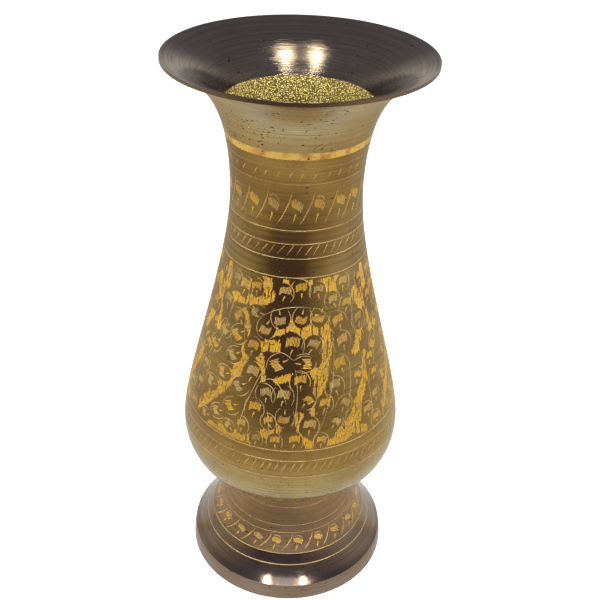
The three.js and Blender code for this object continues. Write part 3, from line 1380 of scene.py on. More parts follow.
def build_patina_group() -> Tree:
    """Builds soft clouds of tarnish, stretched a little round the axis, with small specks.

    Returns:
        The group's tree.
    """
    nodes, source, sink = Group.PATINA.start({"Scale": 40.0, "Amount": 0.5}, ("Clouds", "Specks"))
    place = source.outputs["Place"]
    clouds = nodes.noise(nodes.squeezed(place, 1.6), source.outputs["Scale"], 6.0, 0.62)
    clouds = nodes.math("MULTIPLY", nodes.spread(clouds, 0.36, 0.66), source.outputs["Amount"])
    specks = nodes.spread(nodes.noise(place, 1500.0, 2.0), 0.62, 0.72)
    nodes.feed(sink, {"Clouds": clouds, "Specks": specks})
    return nodes.tree


def build_pit_group() -> Tree:
    """Builds casting pores that the turning tool has opened and smeared, in loose clusters.

    Returns:
        The group's tree.
    """
    nodes, source, sink = Group.PITS.start({"Scale": 520.0, "Share": 0.4}, ("Height", "Mask"))
    place = source.outputs["Place"]
    inputs = {"Vector": nodes.squeezed(place, 2.1), "Scale": source.outputs["Scale"]}
    cells = nodes.add("ShaderNodeTexVoronoi", inputs, feature="F1").outputs
    draw, width, _ = nodes.add("ShaderNodeSeparateColor", {0: cells["Color"]}).outputs
    cluster = nodes.spread(nodes.noise(place, 60.0, 2.0), 0.42, 0.62)
    share = nodes.math("MULTIPLY", cluster, source.outputs["Share"])
    chosen = nodes.math("LESS_THAN", draw, share)
    size = nodes.spread(width, 0.0, 1.0, 0.10, 0.36)
    ragged = nodes.spread(nodes.noise(place, 2600.0, 2.0), 0.2, 0.8, -0.07, 0.07)
    inside = nodes.math("SUBTRACT", nodes.math("ADD", size, ragged), cells["Distance"])
    mask = nodes.math("MULTIPLY", chosen, nodes.spread(inside, 0.0, 0.08))
    nodes.feed(sink, {"Height": nodes.math("MULTIPLY", mask, -1.0), "Mask": mask})
    return nodes.tree


def build_grain_group() -> Tree:
    """Builds the pebbled grain that moulding sand leaves on a casting.

    Returns:
        The group's tree.
    """
    nodes, source, sink = Group.GRAIN.start({"Scale": 1650.0}, ("Height", "Peaks"))
    place = source.outputs["Place"]
    inputs = {"Vector": place, "Scale": source.outputs["Scale"], "Smoothness": 0.5}
    cells = nodes.add("ShaderNodeTexVoronoi", inputs, feature="SMOOTH_F1").outputs
    lump = nodes.math("MULTIPLY", nodes.spread(cells["Distance"], 0.0, 0.75, 1.0, 0.0), 0.7)
    fine = nodes.math("MULTIPLY", nodes.noise(place, 3000.0, 4.0, 0.7), 0.5)
    height = nodes.math("ADD", lump, fine)
    nodes.feed(sink, {"Height": height, "Peaks": nodes.spread(height, 0.550, 0.635)})
    return nodes.tree


@dataclass(frozen=True)
class Finish:
    """A turned metal surface.

    Attributes:
        name: The material's name.
        light: Colour of the cleaner metal.
        dark: Colour where it is tarnished.
        roughness: Lowest and highest roughness.
        lacquer: Weight of the clear lacquer.
        relief: Depth of the turning lines or of the grain, in millimetres.
        pits: Share of the cells that hold a pore.
        patina: How strong the tarnish clouds are.
        anisotropy: How far highlights are drawn out across the turning lines.
        metallic: Share of the light that it mirrors rather than scatters.
        stain: Colour of the broad brownish stains.
        line_shade: How much darker the turning lines are.
    """

    name: str
    light: Colour
    dark: Colour
    roughness: tuple[float, float]
    lacquer: float
    relief: float
    pits: float = 0.0
    patina: float = 0.0
    anisotropy: float = 0.0
    metallic: float = 1.0
    stain: Colour = (0.40, 0.27, 0.13)
    line_shade: float = 0.35

    def material(self) -> bpy.types.Material:
        """Makes the finish's material at its first use.

        Returns:
            The material.
        """
        made = bpy.data.materials.get(self.name)
        if made is not None:
            return made
        made = bpy.data.materials.new(self.name)
        made.use_nodes = True
        made.node_tree.nodes.clear()
        nodes = Nodes(made.node_tree)
        constants = {
            "Metallic": self.metallic,
            "Coat Weight": self.lacquer,
            "Coat Roughness": 0.12,
            "Coat IOR": 1.5,
            "Anisotropic": self.anisotropy,
        }
        shader = nodes.add("ShaderNodeBsdfPrincipled", constants)
        nodes.add("ShaderNodeOutputMaterial", {"Surface": shader.outputs[0]})
        place = nodes.add("ShaderNodeTexCoord").outputs["Object"]
        nodes.feed(shader, self.dress(nodes, place))
        return made

    @staticmethod
    def group(nodes: Nodes, kind: Group, place: Socket, **values: float) -> bpy.types.NodeOutputs:
        """Places a shared node group with its own values.

        Args:
            nodes: The material's node maker.
            kind: Which group.
            place: Where on the surface it reads.
            values: Its number inputs.

        Returns:
            The group's outputs.
        """
        return nodes.add("ShaderNodeGroup", {"Place": place, **values}, node_tree=kind.tree()).outputs

    def bump(self, nodes: Nodes, height: Socket) -> Socket:
        """A normal from a height, in units of the finish's relief."""
        inputs = {"Strength": 1.0, "Distance": self.relief * MM, "Height": height}
        return nodes.add("ShaderNodeBump", inputs).outputs[0]

    def darker(self, share: float) -> Colour:
        """A share of the finish's dark colour."""
        return tuple(share * part for part in self.dark)

    def dress(self, nodes: Nodes, place: Socket) -> dict[str, Socket]:
        """Adds turning lines, tarnish and pores.

        Args:
            nodes: The material's node maker.
            place: The object's coordinates.

        Returns:
            What feeds each input of the shader.
        """
        lathe = self.group(nodes, Group.LATHE, place)
        clouds = self.group(nodes, Group.PATINA, place, Amount=self.patina)
        pits = self.group(nodes, Group.PITS, place, Share=self.pits)
        colour = nodes.mix(clouds["Clouds"], self.light, self.dark)
        tint = nodes.spread(nodes.noise(place, 38.0, 4.0), 0.46, 0.68, 0.0, self.patina)
        colour = nodes.mix(tint, colour, self.stain)
        shade = nodes.spread(lathe["Mask"], 0.0, 1.0, 0.0, self.line_shade)
        colour = nodes.mix(shade, colour, self.darker(0.5))
        speck = nodes.math("MULTIPLY", clouds["Specks"], 0.35)
        colour = nodes.mix(speck, colour, self.darker(0.45))
        colour = nodes.mix(pits["Mask"], colour, self.darker(0.10))
        rough = nodes.spread(clouds["Clouds"], 0.0, 1.0, *self.roughness)
        rough = nodes.math("ADD", rough, nodes.math("MULTIPLY", lathe["Mask"], 0.06))
        rough = nodes.math("ADD", rough, nodes.math("MULTIPLY", pits["Mask"], 0.4), clamp=True)
        height = nodes.math("ADD", lathe["Height"], nodes.math("MULTIPLY", pits["Height"], 6.0))
        return {"Base Color": colour, "Roughness": rough, "Normal": self.bump(nodes, height)}


@dataclass(frozen=True)
class BrightCut(Finish):
    """Freshly cut brass in the graver's strokes, brighter in some cuts than in others."""

    BURNT = (0.66, 0.33, 0.04)

    def dress(self, nodes: Nodes, place: Socket) -> dict[str, Socket]:
        """Varies the cut's colour by its tone and adds chatter marks.

        Args:
            nodes: The material's node maker.
            place: The object's coordinates.

        Returns:
            What feeds each input of the shader.
        """
        tone = nodes.add("ShaderNodeAttribute", attribute_name=TONE).outputs["Fac"]
        colour = nodes.mix(nodes.spread(tone, 0.5, 0.85), self.dark, self.light)
        # Cuts of low tone turn to the dark stain colour; in the painted reflection line this darkness is a
        # painted reflection.
        colour = nodes.mix(nodes.spread(tone, 0.0, 0.5, 0.9, 0.0), colour, self.stain)
        worn = nodes.spread(nodes.noise(place, 85.0), 0.46, 0.66, 0.0, 0.8)
        dull = nodes.math("MULTIPLY", worn, nodes.spread(tone, 0.5, 0.9, 1.0, 0.15))
        colour = nodes.mix(dull, colour, self.stain)
        burnt = nodes.spread(nodes.noise(place, 260.0), 0.50, 0.70, 0.0, 0.5)
        colour = nodes.mix(burnt, colour, self.BURNT)
        chatter = nodes.noise(place, 5200.0, 2.0)
        rough = nodes.spread(chatter, 0.3, 0.7, *self.roughness)
        return {"Base Color": colour, "Roughness": rough, "Normal": self.bump(nodes, chatter)}


@dataclass(frozen=True)
class RoughCast(Finish):
    """A casting's skin as it left the sand, golden on its peaks and dark in its hollows."""

    def dress(self, nodes: Nodes, place: Socket) -> dict[str, Socket]:
        """Adds the sand's grain in colour, gloss and bump.

        Args:
            nodes: The material's node maker.
            place: The object's coordinates.

        Returns:
            What feeds each input of the shader.
        """
        grain = self.group(nodes, Group.GRAIN, place)
        clouds = self.group(nodes, Group.PATINA, place, Amount=self.patina)
        colour = nodes.mix(grain["Peaks"], self.dark, self.light)
        colour = nodes.mix(clouds["Clouds"], colour, self.dark)
        rough = nodes.spread(grain["Peaks"], 0.0, 1.0, *reversed(self.roughness))
        return {"Base Color": colour, "Roughness": rough, "Normal": self.bump(nodes, grain["Height"])}


@dataclass(frozen=True)
class Filler(Finish):
    """Brazing brass turned flush, with reddish patches where it has run and a few blowholes."""

    def dress(self, nodes: Nodes, place: Socket) -> dict[str, Socket]:
        """Adds turning lines, orange patches and blowholes.

        Args:
            nodes: The material's node maker.
            place: The object's coordinates.

        Returns:
            What feeds each input of the shader.
        """
        lathe = self.group(nodes, Group.LATHE, place)
        pits = self.group(nodes, Group.PITS, place, Share=self.pits)
        patches = nodes.spread(nodes.noise(place, 190.0, 4.0), 0.48, 0.62)
        colour = nodes.mix(patches, self.light, self.dark)
        stain = nodes.spread(nodes.noise(place, 620.0), 0.60, 0.74, 0.0, 0.7)
        colour = nodes.mix(stain, colour, self.darker(0.35))
        colour = nodes.mix(pits["Mask"], colour, self.darker(0.1))
        rough = nodes.spread(patches, 0.0, 1.0, *self.roughness)
        height = nodes.math("ADD", lathe["Height"], nodes.math("MULTIPLY", pits["Height"], 3.0))
        return {"Base Color": colour, "Roughness": rough, "Normal": self.bump(nodes, height)}


SATIN = Finish(
    "satin_turned_brass", (0.68, 0.52, 0.20), (0.44, 0.31, 0.11), (0.20, 0.32), 0.7, 0.024,
    pits=0.22, patina=0.75, anisotropy=0.5, stain=(0.40, 0.25, 0.11), line_shade=0.5,
)
NECK_SATIN = Finish(
    "pitted_turned_brass", (0.72, 0.60, 0.30), (0.46, 0.36, 0.18), (0.18, 0.30), 0.8, 0.040,
    pits=1.0, patina=0.7, anisotropy=0.5, stain=(0.48, 0.33, 0.18), line_shade=0.7,
)
# The mouth's polish is a dark brass: partly the polished finish, partly painted shade for the dark room
# that the inside of the flare mirrors.
POLISH_PAINTED_DARK = Finish(
    "polished_brass_painted_dark", (0.49, 0.40, 0.29), (0.35, 0.27, 0.20), (0.10, 0.18), 0.4, 0.060,
    pits=0.12, patina=0.5, anisotropy=0.6, stain=(0.42, 0.33, 0.27), line_shade=0.7,
)
FOOT_SATIN = Finish(
    "satin_foot_brass", (0.62, 0.45, 0.27), (0.44, 0.30, 0.17), (0.40, 0.52), 0.4, 0.016,
    pits=0.2, patina=0.7, anisotropy=0.5, stain=(0.44, 0.28, 0.20),
)
# The foot's polish is a darker brass: partly the polished finish, partly painted shade for the dark room
# that the flare mirrors.
FOOT_POLISH_PAINTED_DARK = Finish(
    "polished_foot_brass_painted_dark", (0.38, 0.28, 0.22), (0.25, 0.19, 0.15), (0.10, 0.18), 0.6, 0.030,
    pits=0.1, patina=0.4, anisotropy=0.5, stain=(0.34, 0.25, 0.21), line_shade=0.5,
)
RIM = Finish(
    "rim_brass", (0.43, 0.31, 0.23), (0.29, 0.20, 0.15), (0.30, 0.42), 0.5, 0.012,
    pits=0.15, patina=0.6, anisotropy=0.3,
)
CUT = BrightCut(
    "bright_cut_brass", (0.78, 0.46, 0.040), (0.60, 0.46, 0.22), (0.30, 0.5), 0.1, 0.01,
    metallic=0.45, stain=(0.30, 0.20, 0.085),
)
ROUGH = RoughCast(
    "sand_cast_brass", (1.0, 0.86, 0.30), (0.17, 0.12, 0.03), (0.30, 0.62), 0.1, 0.40,
    patina=0.20, metallic=0.3,
)
UNDERSIDE = RoughCast(
    "sand_cast_dull_brass", (0.52, 0.38, 0.17), (0.13, 0.09, 0.04), (0.42, 0.7), 0.0, 0.22, patina=0.5,
)
BRAZE = Filler(
    "neck_brazing_brass", (1.0, 0.72, 0.20), (0.70, 0.40, 0.12), (0.24, 0.42), 0.4, 0.02,
    pits=0.5, anisotropy=0.2, metallic=0.7,
)
WAIST_BRAZE = Filler(
    "waist_brazing_brass", (0.66, 0.48, 0.20), (0.36, 0.20, 0.08), (0.34, 0.5), 0.3, 0.02,
    pits=0.4, anisotropy=0.2,
)


# --- The pieces ---


# Size of a sand-cast skin's pebbles and how far they stand out and in, in millimetres.
PEBBLE = 1.3
PEBBLE_HEIGHT = 0.22


def sand_relief(theta: np.ndarray, points: np.ndarray) -> np.ndarray:
    """The relief of a sand-cast skin.

    Args:
        theta: Angles of each row of the surface.
        points: Radius and height of each row.

    Returns:
        The lift of each place along the normal, in millimetres.
    """
    result = np.zeros_like(theta)
    for j, (radius, level) in enumerate(points[1:-1], start=1):
        for i, angle in enumerate(theta[j]):
            place = Vector((radius * math.sin(angle), radius * math.cos(angle), level)) / PEBBLE
            swell = PEBBLE_HEIGHT * noise.noise(place)
            result[j, i] = swell + 0.5 * PEBBLE_HEIGHT * noise.noise(place * 2.3)
    return result


@dataclass
class Piece:
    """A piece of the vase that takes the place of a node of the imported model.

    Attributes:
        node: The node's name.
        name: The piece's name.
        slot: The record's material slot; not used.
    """

    node: str
    name: str
    slot: str

    def place_piece(self, skin: Skin, finishes: Sequence[Finish]) -> Object:
        """Makes the piece and puts it in place of its node.

        Args:
            skin: Its surface.
            finishes: Finish of each material slot.

        Returns:
            The piece.
        """
        piece = skin.to_object(self.name, finishes)
        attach(piece, BODY)
        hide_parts(self.node)
        LOG.info("%s: %d faces", self.name, len(piece.data.polygons))
        return piece


@dataclass(frozen=True)
class Turning:
    """How a part of a stretch is turned.

    Attributes:
        finish: Its finish.
        pitch: Step along it, in millimetres.
        relief: Lift along its normal.
    """

    finish: Finish
    pitch: float
    relief: Relief | None = None


@dataclass
class Casting(Piece):
    """A turned casting.

    Attributes:
        coarse_pitch: Step along a surface that is hidden or plain, in millimetres.
        fine_pitch: Step along a surface with relief.
    """

    coarse_pitch: float = 2.5
    fine_pitch: float = 0.7

    FINISHES = ()

    def slot_of(self, finish: Finish) -> int:
        """The material slot of one of the casting's finishes."""
        return self.FINISHES.index(finish)

    @staticmethod
    def outside(stretches: Sequence[Outline]) -> Outline:
        """The stretch that rises most."""
        return max(stretches, key=lambda stretch: float(stretch.points[-1, 1] - stretch.points[0, 1]))

    @staticmethod
    def spans(stretches: Sequence[Outline], low: float, reach: float) -> Iterator[tuple[Outline, Point]]:
        """Shares bake coordinates out among stretches, by their lengths.

        Args:
            stretches: The stretches.
            low: Lowest coordinate.
            reach: How much of the bake they take.

        Yields:
            Each stretch with its lowest and highest coordinate.
        """
        total = sum(stretch.length for stretch in stretches)
        for stretch in stretches:
            top = low + reach * stretch.length / total
            yield stretch, (low, top)
            low = top

    def turn_in_two(
        self, skin: Skin, stretch: Outline, span: Point, height: float, upper: Turning, lower: Turning
    ) -> None:
        """Turns a falling stretch in two parts.

        Args:
            skin: Where the surface goes.
            stretch: The stretch.
            span: Its lowest and highest bake coordinate.
            height: Where the parts meet, in millimetres.
            upper: How the part above is turned.
            lower: How the part below is turned.
        """
        split = float(np.interp(-height, -stretch.points[:, 1], stretch.along))
        middle = span[0] + split / stretch.length * (span[1] - span[0])
        parts = ((upper, 0.0, split, (span[0], middle)), (lower, split, stretch.length, (middle, span[1])))
        for turning, start, stop, part_span in parts:
            steps = round((stop - start) / turning.pitch)
            part = Outline(stretch.at(np.linspace(start, stop, steps + 1)))
            skin.turn(part, self.slot_of(turning.finish), part_span, turning.relief)


@dataclass
class Body(Casting):
    """Neck and belly, with the ornament cut into them.

    Attributes:
        rough_from: Height from which the inside shows its grain as relief, in millimetres.
        floor_below: Height below which a short stretch belongs to the underside.
        wall_length: Length from which a stretch is the inside's long wall.
        leaf_rings: Heights of the rings under and over the field of leaves.
        strays: How far the leaves of the front, right and left panels stray.
    """

    rough_from: float = 186.0
    floor_below: float = 60.0
    wall_length: float = 60.0
    leaf_rings: Point = (93.8, 168.9)
    strays: Point3 = (0.3, 1.1, 1.1)

    FINISHES = (SATIN, ROUGH, UNDERSIDE, CUT)
    FAINT_RINGS = (215.3, 208.4, 74.4)

    def build(self, node: Object, rng: random.Random) -> Object:
        """Turns and engraves the body.

        Args:
            node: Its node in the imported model.
            rng: Source of hand unevenness.

        Returns:
            The piece.
        """
        stretches = Section(node).stretches()
        outside = self.outside(stretches)
        skin = Skin()
        band = EngravedBand(outside.resampled(ENGRAVED_PITCH), rng)
        self.engrave(band)
        band.add_to(skin, self.slot_of(CUT), ((0.0, self.slot_of(SATIN)),), (0.0, 0.62))
        others = [stretch for stretch in stretches if stretch is not outside]
        for stretch, span in self.spans(others, 0.63, 0.36):
            if stretch.length > self.wall_length:
                upper = Turning(ROUGH, self.fine_pitch, sand_relief)
                lower = Turning(ROUGH, self.coarse_pitch)
                self.turn_in_two(skin, stretch, span, self.rough_from, upper, lower)
            else:
                finish = UNDERSIDE if stretch.points[:, 1].max() < self.floor_below else ROUGH
                skin.turn(stretch.resampled(self.coarse_pitch), self.slot_of(finish), span)
        return self.place_piece(skin, self.FINISHES)

    def engrave(self, band: EngravedBand) -> None:
        """Cuts every ring, row and panel of the ornament, from the top down.

        Args:
            band: The body's outside.
        """
        low, high = self.leaf_rings
        for height in (215.3, 208.4, 188.6, 182.9, 176.8, high, low, 88.9, 80.8, 74.4):
            chisel = FAINT_LINE if height in self.FAINT_RINGS else LINE
            band.ring(band.height_to_distance(height), chisel)
        borders = BorderPatterns(band)
        borders.slanted_ticks(210.0, 214.0, 36, 1.8, FAINT_FLICK)
        borders.seed_row(190.2, 206.0, 19, 6.0)
        borders.slanted_ticks(177.4, 183.2, 50, 3.4)
        borders.slanted_ticks(83.0, 88.6, 92, 3.0)
        borders.punched_fans(66.0, 72.6, 34)
        panel = FoliagePanel(band, low, high)
        for side, stray in zip((0, 1, -1), self.strays):
            panel.engrave(side * FoliagePanel.SPAN, stray)


@dataclass
class Mouth(Casting):
    """The trumpet: polished inside its flare, and rough below.

    Attributes:
        polished_from: Height down to which the inside is turned and polished, in millimetres.
        plain_pitch: Step along the outside and the polished inside.
        wall_rise: Rise or fall from which a stretch is the outside or the inside.
        lip_above: Height above which a short stretch belongs to the lip.
    """

    polished_from: float = 231.2
    plain_pitch: float = 0.8
    wall_rise: float = 15.0
    lip_above: float = 240.0

    FINISHES = (NECK_SATIN, ROUGH, POLISH_PAINTED_DARK, RIM)

    def build(self, node: Object) -> Object:
        """Turns the mouth.

        Args:
            node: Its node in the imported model.

        Returns:
            The piece.
        """
        skin = Skin()
        for stretch, span in self.spans(Section(node).stretches(), 0.0, 0.98):
            heights = stretch.points[:, 1]
            rise = heights[-1] - heights[0]
            if -rise > self.wall_rise:
                # The polished inside takes the dark polish, whose colour is partly painted shade.
                upper = Turning(POLISH_PAINTED_DARK, self.plain_pitch)
                lower = Turning(ROUGH, self.fine_pitch, sand_relief)
                self.turn_in_two(skin, stretch, span, self.polished_from, upper, lower)
            elif rise > self.wall_rise:
                skin.turn(stretch.resampled(self.plain_pitch), self.slot_of(NECK_SATIN), span)
            else:
                finish = RIM if heights.max() > self.lip_above else ROUGH
                skin.turn(stretch.resampled(self.coarse_pitch), self.slot_of(finish), span)
        return self.place_piece(skin, self.FINISHES)


@dataclass
class Foot(Casting):
    """The bell that the vase stands on, engraved round its middle.

    Attributes:
        band_height: Height of the rim band, in millimetres.
        polished_below: Height of the ring under which the flare is polished, in a brass colour kept dark
            partly as painted shade.
        rim_pitch: Step along the rim band.
        rim_inside: Radius beyond which a low stretch belongs to the rim band.
        rim_below: Height below which it does.
    """

    band_height: float = 8.6
    polished_below: float = 20.7
    rim_pitch: float = 0.6
    rim_inside: float = 43.0
    rim_below: float = 10.0

    FINISHES = (FOOT_SATIN, FOOT_POLISH_PAINTED_DARK, RIM, UNDERSIDE, CUT)

    def build(self, node: Object, rng: random.Random) -> Object:
        """Turns and engraves the foot.

        Args:
            node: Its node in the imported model.
            rng: Source of hand unevenness.

        Returns:
            The piece.
        """
        stretches = Section(node, (self.band_height,)).stretches()
        outside = self.outside(stretches)
        skin = Skin()
        band = EngravedBand(outside.resampled(ENGRAVED_PITCH), rng)
        self.engrave(band)
        satin_from = band.height_to_distance(self.polished_below)
        # Below the polished ring the flare takes the darker polish, whose colour is partly painted shade.
        grounds = ((0.0, self.slot_of(FOOT_POLISH_PAINTED_DARK)), (satin_from, self.slot_of(FOOT_SATIN)))
        band.add_to(skin, self.slot_of(CUT), grounds, (0.0, 0.5))
        others = [stretch for stretch in stretches if stretch is not outside]
        for stretch, span in self.spans(others, 0.51, 0.48):
            radii, heights = stretch.points.T
            is_rim = radii.min() > self.rim_inside and heights.max() < self.rim_below
            finish, pitch = (RIM, self.rim_pitch) if is_rim else (UNDERSIDE, self.coarse_pitch)
            skin.turn(stretch.resampled(pitch), self.slot_of(finish), span)
        return self.place_piece(skin, self.FINISHES)

    def engrave(self, band: EngravedBand) -> None:
        """Cuts the rings and the row of seeds.

        Args:
            band: The foot's outside.
        """
        # The ring at 40.4 mm is dark as a painted reflection of the belly's underside in the foot's collar.
        upper = ((40.4, PAINTED_REFLECTION_LINE), (32.4, FAINT_LINE), (29.3, FAINT_LINE))
        for height, chisel in (*upper, (self.polished_below, LINE), (16.3, LINE)):
            band.ring(band.height_to_distance(height), chisel)
        BorderPatterns(band).seed_row(20.9, 29.4, 22, 6.2)


@dataclass
class FillerRing(Piece):
    """A ring of brazing brass between two castings, turned flush.

    Attributes:
        finish: Its finish.
        bow: How much wider the ring is at its top than at its foot, in millimetres.
        gap: Clearance above and below that the brazing fills.
        proud: How far the filler stands over the castings.
        ragged: How far its edges wander.
        thickness: How deep the ring goes into the joint.
        pitch: Step along its sides.
    """

    finish: Finish
    bow: float = 0.0
    gap: float = 0.3
    proud: float = 0.03
    ragged: float = 0.14
    thickness: float = 2.0
    pitch: float = 0.7

    # How near a vertex has to be to an edge to be part of it, in millimetres.
    EDGE_SPARE = 0.01

    def build(self) -> Object:
        """Turns the ring with slightly ragged edges.

        Returns:
            The piece.
        """
        low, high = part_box(self.node)
        foot, top = low.z / MM - self.gap, high.z / MM + self.gap
        outer = high.x / MM - self.bow / 2
        inner = outer - self.thickness
        face = outer + self.proud
        section = np.array(
            [
                (inner, foot),
                (face - self.bow / 2, foot),
                (face, (foot + top) / 2),
                (face + self.bow / 2, top),
                (inner, top),
                (inner, foot),
            ]
        )
        skin = Skin()
        sides = len(section) - 1
        for k in range(sides):
            side = Outline(section[k : k + 2]).resampled(self.pitch)
            skin.turn(side, 0, (k / sides, (k + 1) / sides))
        piece = self.place_piece(skin, (self.finish,))
        self._rag(piece, foot, top)
        return piece

    def _rag(self, piece: Object, foot: float, top: float) -> None:
        """Moves the ring's upper and lower edges up and down a little.

        Args:
            piece: The ring.
            foot: Height of its lower edge, in millimetres.
            top: Height of its upper edge.
        """
        for vertex in piece.data.vertices:
            co = vertex.co
            for edge, height in ((1, top), (-1, foot)):
                if abs(co.z / MM - height) < self.EDGE_SPARE:
                    angle = math.atan2(co.x, -co.y)
                    place = Vector((5 * math.cos(angle), 5 * math.sin(angle), 3.0 * edge))
                    co.z += MM * self.ragged * (noise.noise(place) + 0.6 * noise.noise(place * 3.1))
                    break


# --- Studio ---


@dataclass
class Studio:
    """Floor, surroundings, lamps and camera.

    Attributes:
        distance: Level distance from the vase's axis to the camera, in metres.
        height: Height of the camera, in metres.
        pitch: How far it looks down, in radians.
        yaw: How far it looks to the right.
        roll: How far it is turned about its own line of sight.
        lens: Focal length for a 36 mm wide frame, in millimetres.
        floor_reach: Half the floor's width, in metres.
        ceiling: Height of the overhead lamps, in metres.
        overhead: Colour of the room overhead, as the metal mirrors it.
    """

    distance: float = 0.34766
    height: float = 0.35896
    pitch: float = 0.5629
    yaw: float = 0.0083
    roll: float = 0.0325
    lens: float = 55.84
    floor_reach: float = 8.0
    ceiling: float = 1.25
    overhead: Colour = (0.135, 0.133, 0.172)

    def camera(self) -> None:
        """Places the camera in front of the vase, looking down at it."""
        data = bpy.data.cameras.new("camera")
        data.lens = self.lens
        data.sensor_width = 36.0
        data.clip_start = 0.01
        camera = bpy.data.objects.new("camera", data)
        bpy.context.scene.collection.objects.link(camera)
        cp, sp = math.cos(self.pitch), math.sin(self.pitch)
        cy, sy = math.cos(self.yaw), math.sin(self.yaw)
        ahead = Vector((sy * cp, cy * cp, -sp))
        right = Vector((cy, -sy, 0.0))
        up = right.cross(ahead)
        cr, sr = math.cos(self.roll), math.sin(self.roll)
        turned = (right * cr + up * sr, up * cr - right * sr, -ahead)
        matrix = Matrix(turned).transposed().to_4x4()
        matrix.translation = Vector((0.0, -self.distance, self.height))
        camera.matrix_world = matrix
        bpy.context.scene.camera = camera

    def floor(self, level: float) -> None:
        """Lays a wide pale floor.

        Args:
            level: Height of the floor, in metres.
        """
        corners = [(x * self.floor_reach, y * self.floor_reach, level) for x, y in FLOOR_CORNERS]
        mesh = bpy.data.meshes.new("floor")
        mesh.from_pydata(corners, [], [(0, 1, 2, 3)])
        floor = bpy.data.objects.new("floor", mesh)
        bpy.context.scene.collection.objects.link(floor)
        material = bpy.data.materials.new("pale_floor")
        material.use_nodes = True
        material.node_tree.nodes.clear()
        nodes = Nodes(material.node_tree)
        pale = {
            "Base Color": (0.80, 0.80, 0.80, 1.0),
            "Roughness": 0.9,
            "Specular IOR Level": 0.1,
            "Emission Color": (1.0, 1.0, 1.0, 1.0),
            "Emission Strength": 0.70,
        }
        seen = nodes.add("ShaderNodeBsdfPrincipled", pale)
        x, y, _ = nodes.parts(nodes.add("ShaderNodeTexCoord").outputs["Object"])
        radius = nodes.radius(x, y)
        near = self._ramp(nodes, radius, FLOOR_GLOW)
        glow = nodes.mix(nodes.spread(radius, 0.30, 0.62), near, self._horizon(nodes, x, y))
        mirrored = nodes.add("ShaderNodeEmission", {"Color": glow})
        self._show(nodes, "ShaderNodeOutputMaterial", seen, mirrored)
        mesh.materials.append(material)
        floor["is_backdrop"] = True

    def surroundings(self) -> None:
        """Makes the room: pale to the eye, and in the metal dark in front and paler at the back."""
        world = bpy.data.worlds.new("room")
        bpy.context.scene.world = world
        world.use_nodes = True
        world.node_tree.nodes.clear()
        nodes = Nodes(world.node_tree)
        x, y, z = nodes.parts(nodes.add("ShaderNodeTexCoord").outputs["Generated"])
        colour = nodes.mix(nodes.spread(z, 0.16, 0.42), self._horizon(nodes, x, y), self.overhead)
        mirrored = nodes.add("ShaderNodeBackground", {"Color": colour})
        seen = nodes.add("ShaderNodeBackground", {"Color": (1.0, 1.0, 1.0, 1.0)})
        self._show(nodes, "ShaderNodeOutputWorld", seen, mirrored)

    @staticmethod
    def _show(nodes: Nodes, output: str, seen: Node, mirrored: Node) -> None:
        """Shows one shader to the eye and another to the metal that mirrors it.

        Args:
            nodes: The tree's node maker.
            output: Type of the tree's output node.
            seen: The shader for the eye.
            mirrored: The shader for the metal.
        """
        is_eye = nodes.add("ShaderNodeLightPath").outputs["Is Camera Ray"]
        shaders = {0: is_eye, 1: mirrored.outputs[0], 2: seen.outputs[0]}
        choice = nodes.add("ShaderNodeMixShader", shaders)
        nodes.add(output, {"Surface": choice.outputs[0]})

    def _horizon(self, nodes: Nodes, x: Socket, y: Socket) -> Socket:
        """The room's colour low down, by the direction from the vase.

        Args:
            nodes: The tree's node maker.
            x: How far to the right.
            y: How far back.

        Returns:
            The colour.
        """
        azimuth = nodes.math("ARCTAN2", x, nodes.math("MULTIPLY", y, -1.0))
        turned = nodes.math("ABSOLUTE", nodes.math("ADD", azimuth, DARK_SIDE))
        return self._ramp(nodes, nodes.math("DIVIDE", turned, math.pi), HORIZON)

    @staticmethod
    def _ramp(nodes: Nodes, value: Socket, stops: Sequence[tuple[float, Colour]]) -> Socket:
        """A colour that follows a value from 0 to 1.

        Args:
            nodes: The tree's node maker.
            value: The value.
            stops: Place and colour of each stop.

        Returns:
            The colour.
        """
        node = nodes.add("ShaderNodeValToRGB", {0: value})
        elements = node.color_ramp.elements
        while len(elements) < len(stops):
            elements.new(0.5)
        for element, (place, colour) in zip(elements, stops):
            element.position = place
            element.color = (*colour, 1.0)
        return node.outputs[0]

    @staticmethod
    def lamp(name: str, place: Point3, target: Point3, size: Point, power: float, colour: Colour) -> Object:
        """Hangs a soft rectangular lamp.

        Args:
            name: Its name.
            place: Where it hangs, in metres.
            target: The point that it faces.
            size: Its width and height, in metres.
            power: Its power, in watts.
            colour: Its colour.

        Returns:
            The lamp.
        """
        data = bpy.data.lights.new(name, "AREA")
        data.shape = "RECTANGLE"
        data.size, data.size_y = size
        data.energy = power
        data.color = colour
        lamp = bpy.data.objects.new(name, data)
        bpy.context.scene.collection.objects.link(lamp)
        lamp.location = place
        facing = Vector(target) - Vector(place)
        lamp.rotation_euler = facing.to_track_quat("-Z", "Y").to_euler()
        return lamp

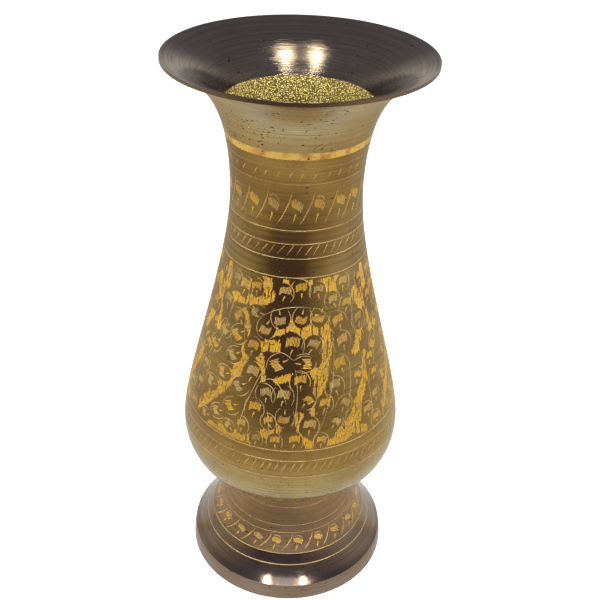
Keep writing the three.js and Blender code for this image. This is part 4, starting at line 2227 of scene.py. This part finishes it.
    def lamps(self) -> None:
        """Hangs four narrow tubes and two weak glows overhead, and a broad lamp at each side."""
        warm, cool, soft = (1.0, 0.94, 0.80), (0.95, 0.96, 1.0), (1.0, 0.96, 0.90)
        for name, x, y, length, power, spin in (
            ("tube_left", -0.34, -0.62, 0.66, 3.2, -0.30),
            ("tube_right", 0.31, -0.62, 0.66, 3.2, 0.30),
            ("far_tube_left", -0.71, -1.88, 0.50, 8.6, -0.30),
            ("far_tube_right", 0.67, -1.88, 0.50, 8.6, 0.30),
        ):
            tube = self.lamp(name, (x, y, self.ceiling), (x, y, 0.0), (0.12, length), power, warm)
            tube.rotation_euler = (0.0, 0.0, spin)
        for name, y, size, power, colour in (
            ("near_glow", -1.25, (0.7, 0.6), 0.12, warm),
            ("far_glow", -1.95, (0.9, 0.5), 2.0, cool),
        ):
            self.lamp(name, (0.0, y, self.ceiling), (0.0, y, 0.0), size, power, colour)
        for name, x in (("side_left", -1.1), ("side_right", 1.1)):
            side = self.lamp(name, (x, -0.45, 0.85), (0.0, 0.0, 0.2), (0.5, 0.9), 26.0, soft)
            side.visible_glossy = False

    def build(self, level: float) -> None:
        """Sets up the whole studio.

        Args:
            level: Height of the floor, in metres.
        """
        self.camera()
        self.floor(level)
        self.surroundings()
        self.lamps()
        view = bpy.context.scene.view_settings
        view.view_transform = "Standard"
        view.look = "None"


def as_lists(bounds: Sequence[Sequence[float]]) -> list[list[float]]:
    """The corners of a box as plain lists of numbers."""
    return [[float(value) for value in corner] for corner in bounds]


def main() -> None:
    """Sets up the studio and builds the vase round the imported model, from the foot up."""
    logging.basicConfig(level=logging.INFO, format="%(name)s: %(message)s")
    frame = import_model()
    cad_bounds = as_lists(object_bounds())
    nodes = frame["nodes"]
    rng = random.Random(SEED)
    Studio().build(cad_bounds[0][2])
    Foot("foot", "turned_foot", "foot_brass").build(nodes["foot"], rng)
    FillerRing("waist_filler_ring", "waist_braze", "waist_filler_brass", WAIST_BRAZE).build()
    Body("body", "engraved_body", "body_brass").build(nodes["body"], rng)
    FillerRing("neck_filler_ring", "neck_braze", "neck_filler_brass", BRAZE, bow=0.72).build()
    Mouth("mouth", "turned_mouth", "mouth_brass").build(nodes["mouth"])


if __name__ == "__main__":
    main()
